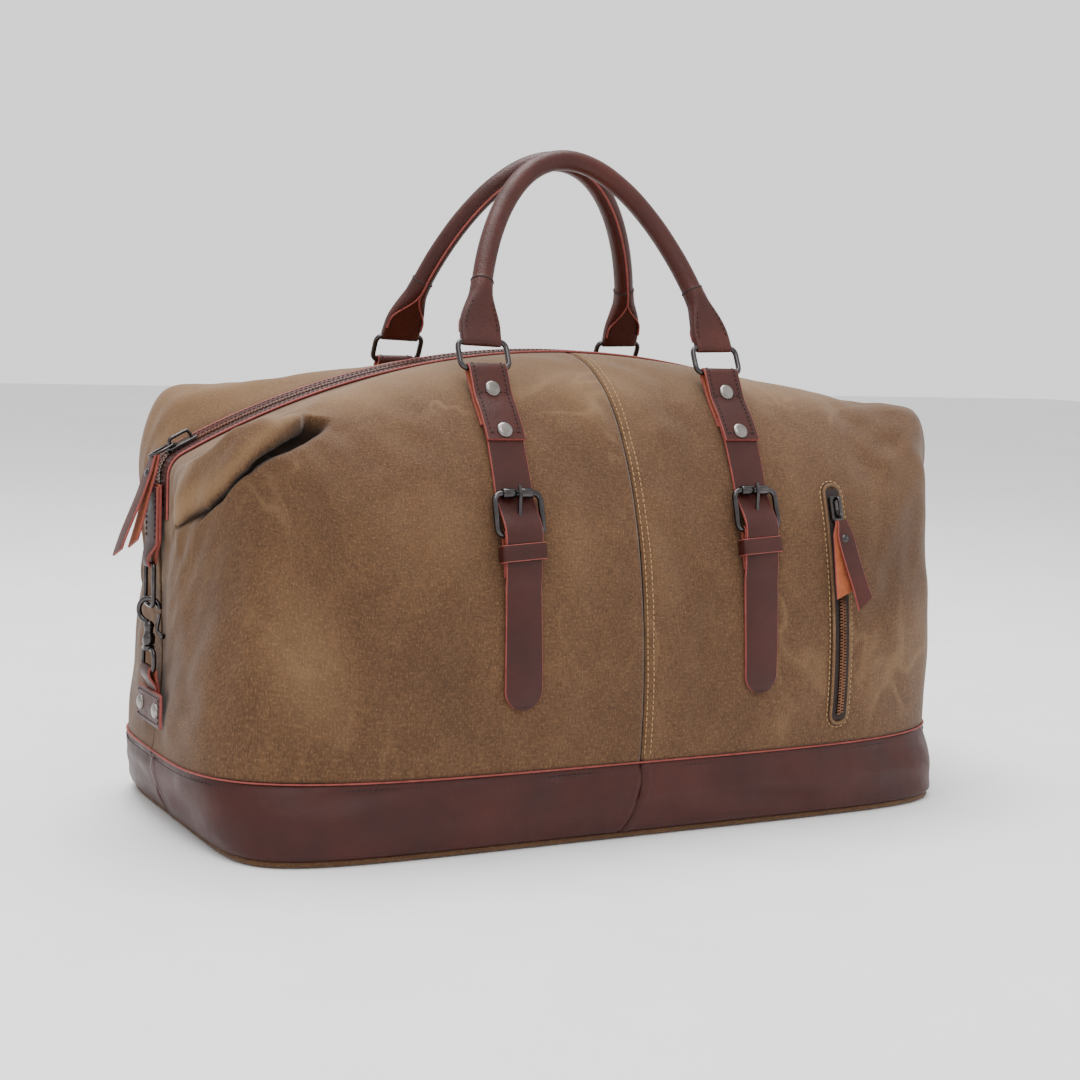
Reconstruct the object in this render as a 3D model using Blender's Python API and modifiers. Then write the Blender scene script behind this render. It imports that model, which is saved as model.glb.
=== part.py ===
"""Duffel bag of waxed canvas on a leather base, in metres, +Z up, front at -Y, left end at -X.

The canvas shell is one smooth surface between two curves: the piping round the base and the edge of the
zip on top. Everything sewn or buckled to the bag is placed on that surface. The back is the front turned
half round the vertical axis, and so is the hardware of the right end."""

import math

import bmesh
import bpy
import numpy as np
from mathutils import Matrix, Vector

GAP = 0.0004  # between pieces that touch

# The body
HALF_LENGTH = 0.265  # at the piping, where the canvas meets the leather base
HALF_WIDTH = 0.128
PIPING_POWER = 4.0
BOTTOM_HALF_LENGTH = 0.252
BOTTOM_HALF_WIDTH = 0.132
BOTTOM_POWER = 7.0
BASE_TOP = 0.045
BASE_BOTTOM = 0.0034
BASE_BULGE = 0.003
SEAM_SWEEP = 0.014  # how far the centre seam of the base runs to the left on its way down
CANVAS = 0.002
LEATHER = 0.0024
CORNER = 0.155  # where the corner lies, as a share of the half outline
LINING_INSET = 0.0062
LINING = 0.0012

# The zip along the top: a long arc, a short bend over each end and a straight drop
ZIP_TOP = 0.289
ZIP_RADIUS = 0.53
ZIP_ARC = math.radians(28.7)
BEND_RADIUS = 0.015
ZIP_TIP = 0.190
CHAIN_HALF = 0.0031
FACING_INNER = 0.0035
FACING_OUTER = 0.0162
FACING_EDGE = 0.0168
FACING = 0.0018

# The straps, buckles, rings and handles
STRAP_X = 0.0835
STRAP_HALF = 0.012
STRAP = 0.0016
RING_HALF = 0.0163
RING_WIRE = 0.0017
RING_LOW = (-0.0672, 0.2796)
RING_HIGH = (-0.0598, 0.2954)
HANDLE_TOP = (-0.0068, 0.4115)
HANDLE_RADIUS = 0.0065
FLARE_HALF = 0.0132
FLARE_THICK = 0.0032
ROLLER_Z = 0.2065
HEEL_Z = 0.1835
ROLLER_OUT = 0.0056
HEEL_OUT = 0.00485
BUCKLE_WIRE = 0.0018
BUCKLE_HALF = 0.015
ROLLER_RADIUS = 0.003
PRONG_WIRE = 0.0011
KEEPER_Z = 0.1735
KEEPER_HEIGHT = 0.010
TIP_Z = 0.083

# The pocket
POCKET_X = 0.147
POCKET_HIGH = 0.208
POCKET_LOW = 0.062
POCKET_SLIDER_Z = 0.196

# The hardware at each end
END_X = -0.268
END_WIRE = 0.0014
TAB_BAR_Z = 0.1585
END_RING_LOW = 0.1332
SNAP_Z = 0.130
SNAP_RADIUS = 0.0072
EYE_LOW = 0.0945
EYE_HIGH = 0.1070

COLOURS = {
    "canvas": ((0.20, 0.125, 0.07), 0.85, 0.0),
    "leather": ((0.075, 0.03, 0.025), 0.45, 0.0),
    "steel": ((0.10, 0.10, 0.11), 0.28, 1.0),
    "nickel": ((0.62, 0.61, 0.59), 0.30, 1.0),
    "brass_chain": ((0.20, 0.15, 0.10), 0.35, 1.0),
    "tape": ((0.05, 0.03, 0.025), 0.8, 0.0),
    "lining": ((0.12, 0.10, 0.08), 0.9, 0.0),
    "board": ((0.03, 0.03, 0.03), 0.8, 0.0),
}


# ---------------------------------------------------------------- scene and materials

for old in list(bpy.data.objects):
    bpy.data.objects.remove(old)

bag = bpy.data.collections.new("duffel_bag")
cutters = bpy.data.collections.new("cutters")
for group in (bag, cutters):
    bpy.context.scene.collection.children.link(group)


def material(name, kind):
    colour, roughness, metallic = COLOURS[kind]
    made = bpy.data.materials.new(name)
    made.use_nodes = True
    shader = made.node_tree.nodes["Principled BSDF"]
    shader.inputs["Base Color"].default_value = (*colour, 1)
    shader.inputs["Roughness"].default_value = roughness
    shader.inputs["Metallic"].default_value = metallic
    return made


def add(name, data, kind, collection=bag):
    piece = bpy.data.objects.new(name, data)
    collection.objects.link(piece)
    if not data.materials:
        data.materials.append(material(name, kind))
    return piece


def half_turn(piece, name):
    """A copy of the piece on the opposite side, turned half round the vertical axis."""
    copy = piece.copy()
    copy.name = name
    bag.objects.link(copy)
    copy.matrix_world = Matrix.Rotation(math.pi, 4, "Z") @ piece.matrix_world
    return copy


# ---------------------------------------------------------------- shape tools


def surface(name, point, kind, across, along, thickness, offset=0.0):
    """A sheet over point(s, t), s and t from 0 to 1, thickened about the surface: offset -1 inwards."""
    grid = bmesh.new()
    bmesh.ops.create_grid(grid, x_segments=across, y_segments=along, size=0.5)
    for vertex in grid.verts:
        vertex.co = Vector(point(vertex.co.x + 0.5, vertex.co.y + 0.5))
    data = bpy.data.meshes.new(name)
    grid.to_mesh(data)
    grid.free()
    piece = add(name, data, kind)
    data.shade_smooth()
    shell = piece.modifiers.new("thickness", "SOLIDIFY")
    shell.thickness = thickness
    shell.offset = offset
    shell.use_even_offset = True
    return piece


def ribbon(name, path, half_width, kind, thickness, middle=0.0, taper=None):
    """A strap along path, a list of (y, z), flat across X. taper(share) scales its width."""
    run = np.concatenate([[0], np.cumsum([math.dist(a, b) for a, b in zip(path, path[1:])])])
    run = run / run[-1]

    def point(s, t):
        width = half_width * (taper(t) if taper else 1)
        i = int(round(t * (len(path) - 1)))
        return middle + (2 * s - 1) * width, path[i][0], path[i][1]

    if taper:
        even = np.linspace(0, 1, len(path)) ** 1.0
        ys = np.interp(even, run, [p[0] for p in path])
        zs = np.interp(even, run, [p[1] for p in path])
        path = list(zip(ys, zs))
    return surface(name, point, kind, 2, len(path) - 1, thickness)


def end_strap(name, path, half_width, kind, thickness):
    """A strap along path, a list of (x, z), flat across Y. half_width is one for each point, or one for all."""
    widths = half_width if isinstance(half_width, list) else [half_width] * len(path)

    def point(s, t):
        i = int(round(t * (len(path) - 1)))
        x, z = path[i]
        return x, (2 * s - 1) * widths[i], z

    return surface(name, point, kind, 1, len(path) - 1, thickness)


def wire(name, points, radius, kind, closed=False, sides=3):
    data = bpy.data.curves.new(name, "CURVE")
    data.dimensions = "3D"
    data.bevel_depth = radius
    data.bevel_resolution = sides
    data.use_fill_caps = True
    line = data.splines.new("POLY")
    line.points.add(len(points) - 1)
    for place, p in zip(line.points, points):
        place.co = (*p, 1)
    line.use_cyclic_u = closed
    return add(name, data, kind)


def plate(name, outlines, thickness, frame, kind):
    """A flat plate with the given outlines, the first outside and the rest holes, in the frame's X and Y."""
    data = bpy.data.curves.new(name, "CURVE")
    data.dimensions = "2D"
    data.fill_mode = "BOTH"
    data.extrude = thickness / 2
    for outline in outlines:
        line = data.splines.new("POLY")
        line.points.add(len(outline) - 1)
        for place, p in zip(line.points, outline):
            place.co = (p[0], p[1], 0, 1)
        line.use_cyclic_u = True
    piece = add(name, data, kind)
    piece.matrix_world = frame
    return piece


def turned(name, profile, frame, kind, steps=20, closed=False):
    """A turned piece about the frame's Z. The profile is (radius, height), down its outer side."""
    data = bpy.data.meshes.new(name)
    ends = [(i, i + 1) for i in range(len(profile) - 1)]
    if closed:
        ends.append((len(profile) - 1, 0))
    data.from_pydata([(r, 0, h) for r, h in profile], ends, [])
    piece = add(name, data, kind)
    screw = piece.modifiers.new("turn", "SCREW")
    screw.steps = steps
    screw.render_steps = steps
    screw.use_merge_vertices = True
    screw.merge_threshold = 0.00001
    piece.matrix_world = frame
    return piece


def box(name, size, frame, kind, collection=bag):
    shape = bmesh.new()
    bmesh.ops.create_cube(shape, size=1)
    bmesh.ops.scale(shape, vec=size, verts=shape.verts)
    data = bpy.data.meshes.new(name)
    shape.to_mesh(data)
    shape.free()
    piece = add(name, data, kind, collection)
    piece.matrix_world = frame
    return piece


def rod(name, radius, length, frame, kind, collection=bag, sides=16):
    shape = bmesh.new()
    bmesh.ops.create_cone(
        shape, cap_ends=True, segments=sides, radius1=radius, radius2=radius, depth=length
    )
    data = bpy.data.meshes.new(name)
    shape.to_mesh(data)
    shape.free()
    piece = add(name, data, kind, collection)
    piece.matrix_world = frame
    return piece


def as_mesh(piece):
    """The piece with its curve or modifiers turned into a welded mesh, under the same name."""
    graph = bpy.context.evaluated_depsgraph_get()
    data = bpy.data.meshes.new_from_object(piece.evaluated_get(graph))
    shape = bmesh.new()
    shape.from_mesh(data)
    bmesh.ops.remove_doubles(shape, verts=shape.verts, dist=1e-6)
    bmesh.ops.recalc_face_normals(shape, faces=shape.faces)
    shape.to_mesh(data)
    shape.free()
    name, place = piece.name, piece.matrix_world.copy()
    bpy.data.objects.remove(piece)
    made = bpy.data.objects.new(name, data)
    bag.objects.link(made)
    made.matrix_world = place
    return made


def combine(piece, other, operation):
    """Joins other to the piece or cuts it from the piece. other stays as a hidden helper."""
    if piece.type != "MESH":
        piece = as_mesh(piece)
    for group in list(other.users_collection):
        group.objects.unlink(other)
    cutters.objects.link(other)
    other.hide_render = True
    other.display_type = "WIRE"
    change = piece.modifiers.new(other.name, "BOOLEAN")
    change.operation = operation
    change.object = other
    change.solver = "EXACT"
    return piece


def facing(origin, outwards, up):
    """A frame at origin whose Z points outwards and whose Y is near up."""
    z = Vector(outwards).normalized()
    x = Vector(up).cross(z).normalized()
    y = z.cross(x)
    frame = Matrix((x, y, z)).transposed().to_4x4()
    frame.translation = Vector(origin)
    return frame


def rounded_box(half_x, half_y, radius, steps=5):
    """Corner points of a rounded rectangle, going round it anticlockwise."""
    points = []
    for corner in range(4):
        cx = (half_x - radius) * (1 if corner in (0, 3) else -1)
        cy = (half_y - radius) * (1 if corner in (0, 1) else -1)
        for step in range(steps + 1):
            angle = math.pi / 2 * (corner + step / steps)
            points.append((cx + radius * math.cos(angle), cy + radius * math.sin(angle)))
    return points


def arc(centre, radius, start, stop, steps):
    """Points from angle start to angle stop, in degrees, about centre."""
    angles = np.radians(np.linspace(start, stop, steps + 1))
    return [(centre[0] + radius * math.cos(a), centre[1] + radius * math.sin(a)) for a in angles]


# ---------------------------------------------------------------- the shape of the bag


def superellipse(half_length, half_width, power):
    """The front half of an outline from the left end to the right end, with the share of its length."""
    angle = np.linspace(0, math.pi, 1441)
    cosine = np.cos(angle)
    x = -half_length * np.sign(cosine) * np.abs(cosine) ** (2 / power)
    y = -half_width * np.abs(np.sin(angle)) ** (2 / power)
    y[0] = y[-1] = 0
    run = np.concatenate([[0], np.cumsum(np.hypot(np.diff(x), np.diff(y)))])
    return run / run[-1], x, y


PIPING = superellipse(HALF_LENGTH, HALF_WIDTH, PIPING_POWER)
BOTTOM = superellipse(BOTTOM_HALF_LENGTH, BOTTOM_HALF_WIDTH, BOTTOM_POWER)


def on_outline(outline, u):
    """The point at share u of a half outline, and the outward direction there."""
    share, x, y = outline
    step = 0.004
    low, high = max(u - step, 0), min(u + step, 1)
    tangent = Vector(
        (np.interp(high, share, x) - np.interp(low, share, x),
         np.interp(high, share, y) - np.interp(low, share, y))
    ).normalized()
    return Vector((np.interp(u, share, x), np.interp(u, share, y))), Vector((tangent.y, -tangent.x))


ARC_LENGTH = ZIP_RADIUS * ZIP_ARC
ARC_CENTRE_Z = ZIP_TOP - ZIP_RADIUS
BEND_X = (ZIP_RADIUS - BEND_RADIUS) * math.sin(ZIP_ARC)
BEND_Z = ARC_CENTRE_Z + (ZIP_RADIUS - BEND_RADIUS) * math.cos(ZIP_ARC)
BEND_LENGTH = BEND_RADIUS * (math.pi / 2 - ZIP_ARC)
ZIP_HALF = ARC_LENGTH + BEND_LENGTH + BEND_Z - ZIP_TIP


def zip_point(s, out=0.0):
    """The point (x, z) of the zip's line at distance s from the middle, out along its normal."""
    side, run = math.copysign(1, s), abs(s)
    if run <= ARC_LENGTH:
        angle = run / ZIP_RADIUS
        reach = ZIP_RADIUS + out
        return side * reach * math.sin(angle), ARC_CENTRE_Z + reach * math.cos(angle)
    run -= ARC_LENGTH
    reach = BEND_RADIUS + out
    if run <= BEND_LENGTH:
        angle = ZIP_ARC + run / BEND_RADIUS
        return side * (BEND_X + reach * math.sin(angle)), BEND_Z + reach * math.cos(angle)
    return side * (BEND_X + reach), BEND_Z - (run - BEND_LENGTH)


def top_edge(u):
    """The canvas edge along the zip. It starts under the tip of the zip and runs beside its facing."""
    end = min(u, 1 - u)
    side = -1 if u < 0.5 else 1
    share = 2 * end
    run = (FACING_EDGE + ZIP_HALF) * share * (1 - 0.55 * (1 - share) ** 2)
    if run < FACING_EDGE:
        x, z = zip_point(side * (ZIP_HALF + 0.0034))
        return Vector((x, -run, z))
    x, z = zip_point(side * (ZIP_HALF - (run - FACING_EDGE)))
    return Vector((x, -FACING_EDGE, z))


# How the shell rises: at the end's middle, on the end, at the corner, past it and at the front's middle.
ENDS = (0, 0.07, CORNER, 0.26, 0.5)
RISE = (0.050, 0.090, 0.185, 0.150, 0.125)  # how far it climbs straight up from the piping
BELLY = (-0.010, -0.003, 0.004, 0.008, 0.009)  # how far it swells outwards there
SHOULDER = (0.004, 0.030, 0.066, 0.074, 0.0755)  # how far it runs out level from the zip
LIFT = (-0.055, -0.010, 0.048, 0.012, -0.002)  # how far the shoulder stands above the zip
EAR = (0.0, 0.004, 0.010, 0.004, 0.0)  # how far the corner's ear reaches lengthways


def eased(end, values):
    """The value at end, easing from each of the places in ENDS to the next."""
    i = min(int(np.searchsorted(ENDS, end, side="right")) - 1, len(ENDS) - 2)
    t = (end - ENDS[i]) / (ENDS[i + 1] - ENDS[i])
    t = t * t * (3 - 2 * t)
    return values[i] + (values[i + 1] - values[i]) * t


def shell(u, v):
    """The canvas surface of the front: u from the left end to the right, v from the piping to the zip."""
    end = min(u, 1 - u)
    side = -1 if u < 0.5 else 1
    foot, outwards = on_outline(PIPING, u)
    start = Vector((foot.x, foot.y, BASE_TOP))
    belly = eased(end, BELLY)
    above = start + Vector((outwards.x * belly, outwards.y * belly, eased(end, RISE)))
    edge = top_edge(u)
    beside = edge + Vector((side * eased(end, EAR), -eased(end, SHOULDER), eased(end, LIFT)))
    w = 1 - v
    return start * w**3 + above * (3 * w * w * v) + beside * (3 * w * v * v) + edge * v**3


def inside(u, v, depth):
    """The point that depth inside the canvas surface."""
    step = 0.004
    ends = (max(u - step, 0), min(u + step, 1))
    rows = (max(v - step, 0), min(v + step, 1))
    along = shell(ends[1], v) - shell(ends[0], v)
    if u < step:
        along = Vector((0, -1, 0))
    if u > 1 - step:
        along = Vector((0, 1, 0))
    up = shell(u, rows[1]) - shell(u, rows[0])
    return shell(u, v) - along.cross(up).normalized() * depth


def front_profile(x, samples=160):
    """(y, z) of the canvas along a line at that x, and the outward normal, from the piping up."""
    points = []
    for v in np.linspace(0, 1, samples):
        low, high = 0.02, 0.98
        for _ in range(30):
            middle = (low + high) / 2
            if shell(middle, v).x < x:
                low = middle
            else:
                high = middle
        place = shell(low, v)
        points.append((place.y, place.z))
    points = np.array(points)
    slope = np.gradient(points, axis=0)
    slope /= np.linalg.norm(slope, axis=1)[:, None]
    return points, np.stack([-slope[:, 1], slope[:, 0]], 1)


def at_height(profile, z, out):
    """The point (y, z) that far out from the canvas, over the place with height z."""
    points, normals = profile
    y = np.interp(z, points[:, 1], points[:, 0])
    normal = [np.interp(z, points[:, 1], normals[:, i]) for i in (0, 1)]
    size = math.hypot(*normal)
    return float(y + out * normal[0] / size), float(z + out * normal[1] / size)


def normal_at(profile, z):
    near, far = at_height(profile, z, 0), at_height(profile, z, 1)
    return far[0] - near[0], far[1] - near[1]


# ---------------------------------------------------------------- canvas, base and inside

SEAM = 0.0006  # half the gap of a seam, as a share of the half outline


def canvas_panels():
    def left(s, t):
        return shell(SEAM + s * (0.5 - 2 * SEAM), 0.002 + 0.998 * t)

    def right(s, t):
        return shell(0.5 + SEAM + s * (0.5 - 2 * SEAM), 0.002 + 0.998 * t)

    front_left = surface("front_left_canvas", left, "canvas", 20, 11, CANVAS, -1)
    front_right = surface("front_right_canvas", right, "canvas", 20, 11, CANVAS, -1)
    half_turn(front_left, "back_right_canvas")
    half_turn(front_right, "back_left_canvas")


def base_wall(u, v):
    """The leather of the base: v from the bottom edge to the piping."""
    low, _ = on_outline(BOTTOM, u)
    high, outwards = on_outline(PIPING, u)
    belly = 4 * BASE_BULGE * v * (1 - v)
    place = low.lerp(high, v) + outwards * belly
    return Vector((place.x, place.y, BASE_BOTTOM + v * (BASE_TOP - 0.0006 - BASE_BOTTOM)))


def base_panels():
    half_outline = 2 * HALF_LENGTH + HALF_WIDTH

    def seam(v):
        return 0.5 - SEAM_SWEEP * (1 - v) ** 2 / half_outline

    def left(s, t):
        return base_wall(SEAM + s * (seam(t) - 2 * SEAM), t)

    def right(s, t):
        start = seam(t) + SEAM
        return base_wall(start + s * (1 - SEAM - start), t)

    front_left = surface("base_front_left", left, "leather", 18, 4, LEATHER, -1)
    front_right = surface("base_front_right", right, "leather", 18, 4, LEATHER, -1)
    half_turn(front_left, "base_back_right")
    half_turn(front_right, "base_back_left")


def whole_outline(outline, inset, points):
    """The full outline, inset towards the middle."""
    made = []
    for turn in (1, -1):
        for u in np.linspace(0, 1, points, endpoint=False):
            place, outwards = on_outline(outline, u)
            made.append(tuple(turn * (place - outwards * inset)))
    return made


def floor_pieces():
    flat = Matrix.Translation((0, 0, 0.0014))
    plate("bottom_panel", [whole_outline(BOTTOM, 0.0032, 28)], 0.0028, flat, "canvas")
    raised = Matrix.Translation((0, 0, 0.0044))
    plate("base_board", [whole_outline(BOTTOM, 0.014, 28)], 0.0020, raised, "board")


def lining_piece():
    floor = 0.0072
    turn_in = 0.012

    def point(s, t):
        """Rows: the floor's middle, its edge, the base wall, then the shell up to beside the zip."""
        rows = 14
        row = int(round(t * rows))
        if row == 0:
            place, outwards = on_outline(BOTTOM, s)
            return Vector((place.x - outwards.x * turn_in, 0, floor))
        if row == 1:
            place, outwards = on_outline(BOTTOM, s)
            place = place - outwards * turn_in
            return Vector((place.x, place.y, floor))
        if row <= 3:
            place, outwards = on_outline(PIPING if row == 3 else BOTTOM, s)
            place = place - outwards * (LINING_INSET + 0.001)
            return Vector((place.x, place.y, floor + 0.012 * (row - 1)))
        v = 0.03 + 0.94 * (row - 4) / (rows - 4)
        return inside(s, v, LINING_INSET)

    half = surface("lining", point, "lining", 26, 14, LINING, -1)
    data = half.data
    shape = bmesh.new()
    shape.from_mesh(data)
    for vertex in shape.verts:
        if vertex.co.y > -0.0002:
            vertex.co.y = 0
    copy = bmesh.ops.duplicate(shape, geom=shape.verts[:] + shape.edges[:] + shape.faces[:])
    moved = [part for part in copy["geom"] if isinstance(part, bmesh.types.BMVert)]
    bmesh.ops.rotate(shape, verts=moved, cent=(0, 0, 0), matrix=Matrix.Rotation(math.pi, 3, "Z"))
    bmesh.ops.remove_doubles(shape, verts=shape.verts, dist=0.0002)
    shape.to_mesh(data)
    shape.free()


# ---------------------------------------------------------------- the zip on top


def zip_stations():
    """Distances along the zip, closer together over the bends."""
    arc_part = np.linspace(-ARC_LENGTH, ARC_LENGTH, 27)
    bend = np.linspace(ARC_LENGTH, ARC_LENGTH + BEND_LENGTH, 6)[1:]
    tip = ZIP_HALF - 0.0016
    return np.concatenate([[-tip], -bend[::-1], arc_part, bend, [tip]])


def zip_strip(name, low, high, kind, thickness):
    stations = zip_stations()

    def point(s, t):
        x, z = zip_point(stations[int(round(s * (len(stations) - 1)))])
        return x, low + t * (high - low), z

    return surface(name, point, kind, len(stations) - 1, 1, thickness)


def top_zip():
    strip = zip_strip("zip_facing_front", -FACING_OUTER, -FACING_INNER, "leather", FACING)
    half_turn(strip, "zip_facing_back")
    zip_strip("main_zipper", -CHAIN_HALF, CHAIN_HALF, "brass_chain", 0.0022)


SLIDER_S = -ZIP_RADIUS * math.radians(28.0)


def main_slider():
    x, z = zip_point(SLIDER_S)
    angle = SLIDER_S / ZIP_RADIUS
    outwards = (math.sin(angle), 0, math.cos(angle))
    along = (math.cos(angle), 0, -math.sin(angle))
    low = Vector((x, 0, z)) + Vector(outwards) * 0.0028
    body = box("main_slider", (0.0115, 0.020, 0.0028), facing(low, outwards, along), "steel")
    for end in (-1, 1):
        place = low + Vector(outwards) * 0.0026 + Vector(along) * (0.0055 * end)
        post = box(f"slider_post_{end + 1}", (0.003, 0.0022, 0.0046), facing(place, outwards, along), "steel")
        body = combine(body, post, "UNION")
    place = low + Vector(outwards) * 0.0052
    bridge = box("slider_bridge", (0.003, 0.0132, 0.0016), facing(place, outwards, along), "steel")
    combine(body, bridge, "UNION")


PULL_LEAN = math.radians(17)
PULL_LENGTH = 0.062


def main_pull():
    """A leather strip folded through the slider's bail, hanging over the end of the bag."""
    x, z = zip_point(SLIDER_S - 0.0135, 0.0068)
    down = (-math.sin(PULL_LEAN), -math.cos(PULL_LEAN))
    path = [(x + down[0] * d, z + down[1] * d) for d in np.linspace(0, PULL_LENGTH, 7)]
    end_strap("main_pull", path, 0.0062, "leather", 0.0026)


# ---------------------------------------------------------------- front and back straps


def strap_path(profile, stations):
    """Points over the canvas at the given (height, distance out)."""
    return [at_height(profile, z, out) for z, out in stations]


RING_LEG = [(0.2362, 0.0050), (0.2435, 0.0050), (0.2515, 0.0051), (0.2600, 0.0052)]


def ring_strap_path(profile):
    """From the sewn end of the outer leg, up over the ring's lower bar and down under itself."""
    wrap = RING_WIRE + GAP + 0.00075
    lean = math.degrees(math.atan2(RING_HIGH[1] - RING_LOW[1], RING_HIGH[0] - RING_LOW[0]))
    outer = strap_path(profile, RING_LEG)
    loop = arc(RING_LOW, wrap, lean + 95, lean - 95, 8)
    inner = strap_path(profile, [(0.2590, 0.0014), (0.2520, 0.0012), (0.2460, 0.0012)])
    return outer + loop + inner


def front_straps():
    """The pieces at each of the two front straps, and plain ring straps with two rivets at the back."""
    for side, x in (("left", -STRAP_X), ("right", STRAP_X)):
        profile = front_profile(x)
        strap = ribbon(f"ring_strap_front_{side}", ring_strap_path(profile), STRAP_HALF + 0.0006,
                       "leather", 0.0015, x)
        for number, z in ((1, 0.2675), (2, 0.2440)):
            rivet(f"rivet_{side}_{number}", ring_strap_path(profile)[:5], x, z)
        far = "right" if side == "left" else "left"
        back = half_turn(strap, f"ring_strap_back_{far}")
        back.data = strap.data.copy()
        buckle(side, profile, x)


def rivet(name, leg, x, z):
    """A flat round rivet head at height z on the outer leg of a ring strap, just clear of the leather."""
    i = max(n for n in range(len(leg) - 1) if leg[n][1] <= z)
    low, high = Vector((0, *leg[i])), Vector((0, *leg[i + 1]))
    place = low.lerp(high, (z - low.z) / (high.z - low.z))
    outwards = Vector((1, 0, 0)).cross(high - low).normalized()
    if outwards.y > 0:
        outwards = -outwards
    head = [(0, 0.0016), (0.0035, 0.0014), (0.0050, 0.0004), (0.0046, 0), (0, 0)]
    frame = facing(place + Vector((x, 0, 0)) + outwards * 0.00115, outwards, (0, 0, 1))
    turned(name, head, frame, "nickel", 18)


def buckle(side, profile, x):
    stations = [
        (0.2500, 0.0031), (0.2420, 0.0031), (0.2360, 0.0030), (0.2290, 0.0022), (0.2200, 0.0018),
        (0.2120, 0.0015), (0.2065, 0.0015), (0.2032, 0.0019), (0.1985, 0.0038), (0.1930, 0.0065),
        (0.1878, 0.0087), (0.1835, 0.0092), (0.1795, 0.0084), (0.1755, 0.0070), (0.1715, 0.0060),
        (0.1660, 0.0055), (0.1600, 0.0047), (0.1530, 0.0030), (0.1430, 0.0025), (0.1300, 0.0018),
        (0.1160, 0.0015), (0.1000, 0.0015), (0.0940, 0.0015), (0.0905, 0.0015), (0.0880, 0.0015),
        (0.0860, 0.0015), (0.0845, 0.0015), (0.0836, 0.0015), (TIP_Z, 0.0015),
    ]
    path = strap_path(profile, stations)

    def width(i):
        """The strap's end is a half circle."""
        left = stations[i][0] - TIP_Z
        if left >= STRAP_HALF:
            return STRAP_HALF
        return max(math.sqrt(STRAP_HALF**2 - (STRAP_HALF - left) ** 2), 0.0012)

    def point(s, t):
        i = int(round(t * (len(path) - 1)))
        return x + (2 * s - 1) * width(i), path[i][0], path[i][1]

    strap = surface(f"buckle_strap_{side}", point, "leather", 2, len(path) - 1, STRAP)
    ny, nz = normal_at(profile, 0.193)
    y, z = at_height(profile, 0.193, 0.0064)
    hole = box(f"strap_hole_{side}", (0.0042, 0.0125, 0.012), facing((x, y, z), (0, ny, nz), (0, 0, 1)), "leather")
    combine(strap, hole, "DIFFERENCE")

    heel = at_height(profile, HEEL_Z, HEEL_OUT)
    top = at_height(profile, ROLLER_Z, ROLLER_OUT)
    chape(side, profile, x, heel)

    middle = Vector((x, (heel[0] + top[0]) / 2, (heel[1] + top[1]) / 2))
    up = Vector((0, top[0] - heel[0], top[1] - heel[1]))
    frame = facing(middle, Vector((1, 0, 0)).cross(up), up)
    loop = rounded_box(BUCKLE_HALF, up.length / 2, 0.0030, 3)
    ring_points = [frame @ Vector((a, b, 0)) for a, b in loop]
    wire(f"buckle_frame_{side}", ring_points, BUCKLE_WIRE, "steel", closed=True)

    bore, half = BUCKLE_WIRE + 0.0003, 0.0098
    tube = [(ROLLER_RADIUS, half), (ROLLER_RADIUS, -half), (bore, -half), (bore, half)]
    across = facing((x, *top), (1, 0, 0), (0, 0, 1))
    turned(f"roller_{side}", tube, across, "steel", 16, closed=True)
    prong(side, profile, x, heel, top)
    keeper(side, profile, x)


def chape(side, profile, x, heel):
    """The short leather under the strap that holds the buckle's heel bar in its fold."""
    wrap = BUCKLE_WIRE + 0.0003 + 0.00055
    ny, nz = normal_at(profile, HEEL_Z)
    facing_angle = math.degrees(math.atan2(nz, ny))
    outer = strap_path(profile, [(0.1630, 0.0034), (0.1700, 0.0037), (0.1755, 0.0050)])
    fold = arc(heel, wrap, facing_angle, facing_angle - 180, 8)
    inner = strap_path(profile, [(0.1765, 0.0022), (0.1680, 0.0021), (0.1600, 0.0020)])
    piece = ribbon(f"chape_{side}", outer + fold + inner, 0.0112, "leather", 0.0011, x)
    slot = box(f"chape_slot_{side}", (0.0046, 0.0100, 0.020),
               facing((x, heel[0], heel[1] + 0.0008), (0, ny, nz), (0, 0, 1)), "leather")
    combine(piece, slot, "DIFFERENCE")


def prong(side, profile, x, heel, top):
    """The tongue: it wraps round the back of the heel bar, comes up through the strap and rests on the roller."""
    ny, nz = normal_at(profile, HEEL_Z)
    outwards = Vector((ny, nz))
    up = Vector((nz, -ny)) if nz > 0 and -ny > 0 else Vector((-nz, ny))
    up = Vector((outwards.y, -outwards.x))
    if up.y < 0:
        up = -up
    reach = BUCKLE_WIRE + 0.0003 + PRONG_WIRE
    points = []
    for angle in np.radians(np.linspace(-150, 0, 8)):
        place = Vector(heel) + up * (reach * math.cos(angle)) + outwards * (reach * math.sin(angle))
        points.append((x, place.x, place.y))
    for z, out in ((0.1900, 0.0056), (0.1950, 0.0074), (0.2010, 0.0093), (0.2065, 0.0103), (0.2095, 0.0101)):
        points.append((x, *at_height(profile, z, out)))
    wire(f"prong_{side}", points, PRONG_WIRE, "steel", sides=2)


def keeper(side, profile, x):
    """A leather loop round the strap and the chape."""
    low, high, wall = 0.0004, 0.0098, 0.0010
    centre = at_height(profile, KEEPER_Z, (low + high) / 2)
    ny, nz = normal_at(profile, KEEPER_Z)
    along = Vector((0, nz, -ny)) if -ny > 0 else Vector((0, -nz, ny))
    frame = facing((x, *centre), along, (0, ny, nz))
    half = (high - low) / 2
    outline = rounded_box(STRAP_HALF + 0.0026, half, 0.0022, 3)
    hole = rounded_box(STRAP_HALF + 0.0026 - wall, half - wall, 0.0014, 3)
    plate(f"keeper_{side}", [outline, hole], KEEPER_HEIGHT, frame, "leather")


# ---------------------------------------------------------------- rings and handles


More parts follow.
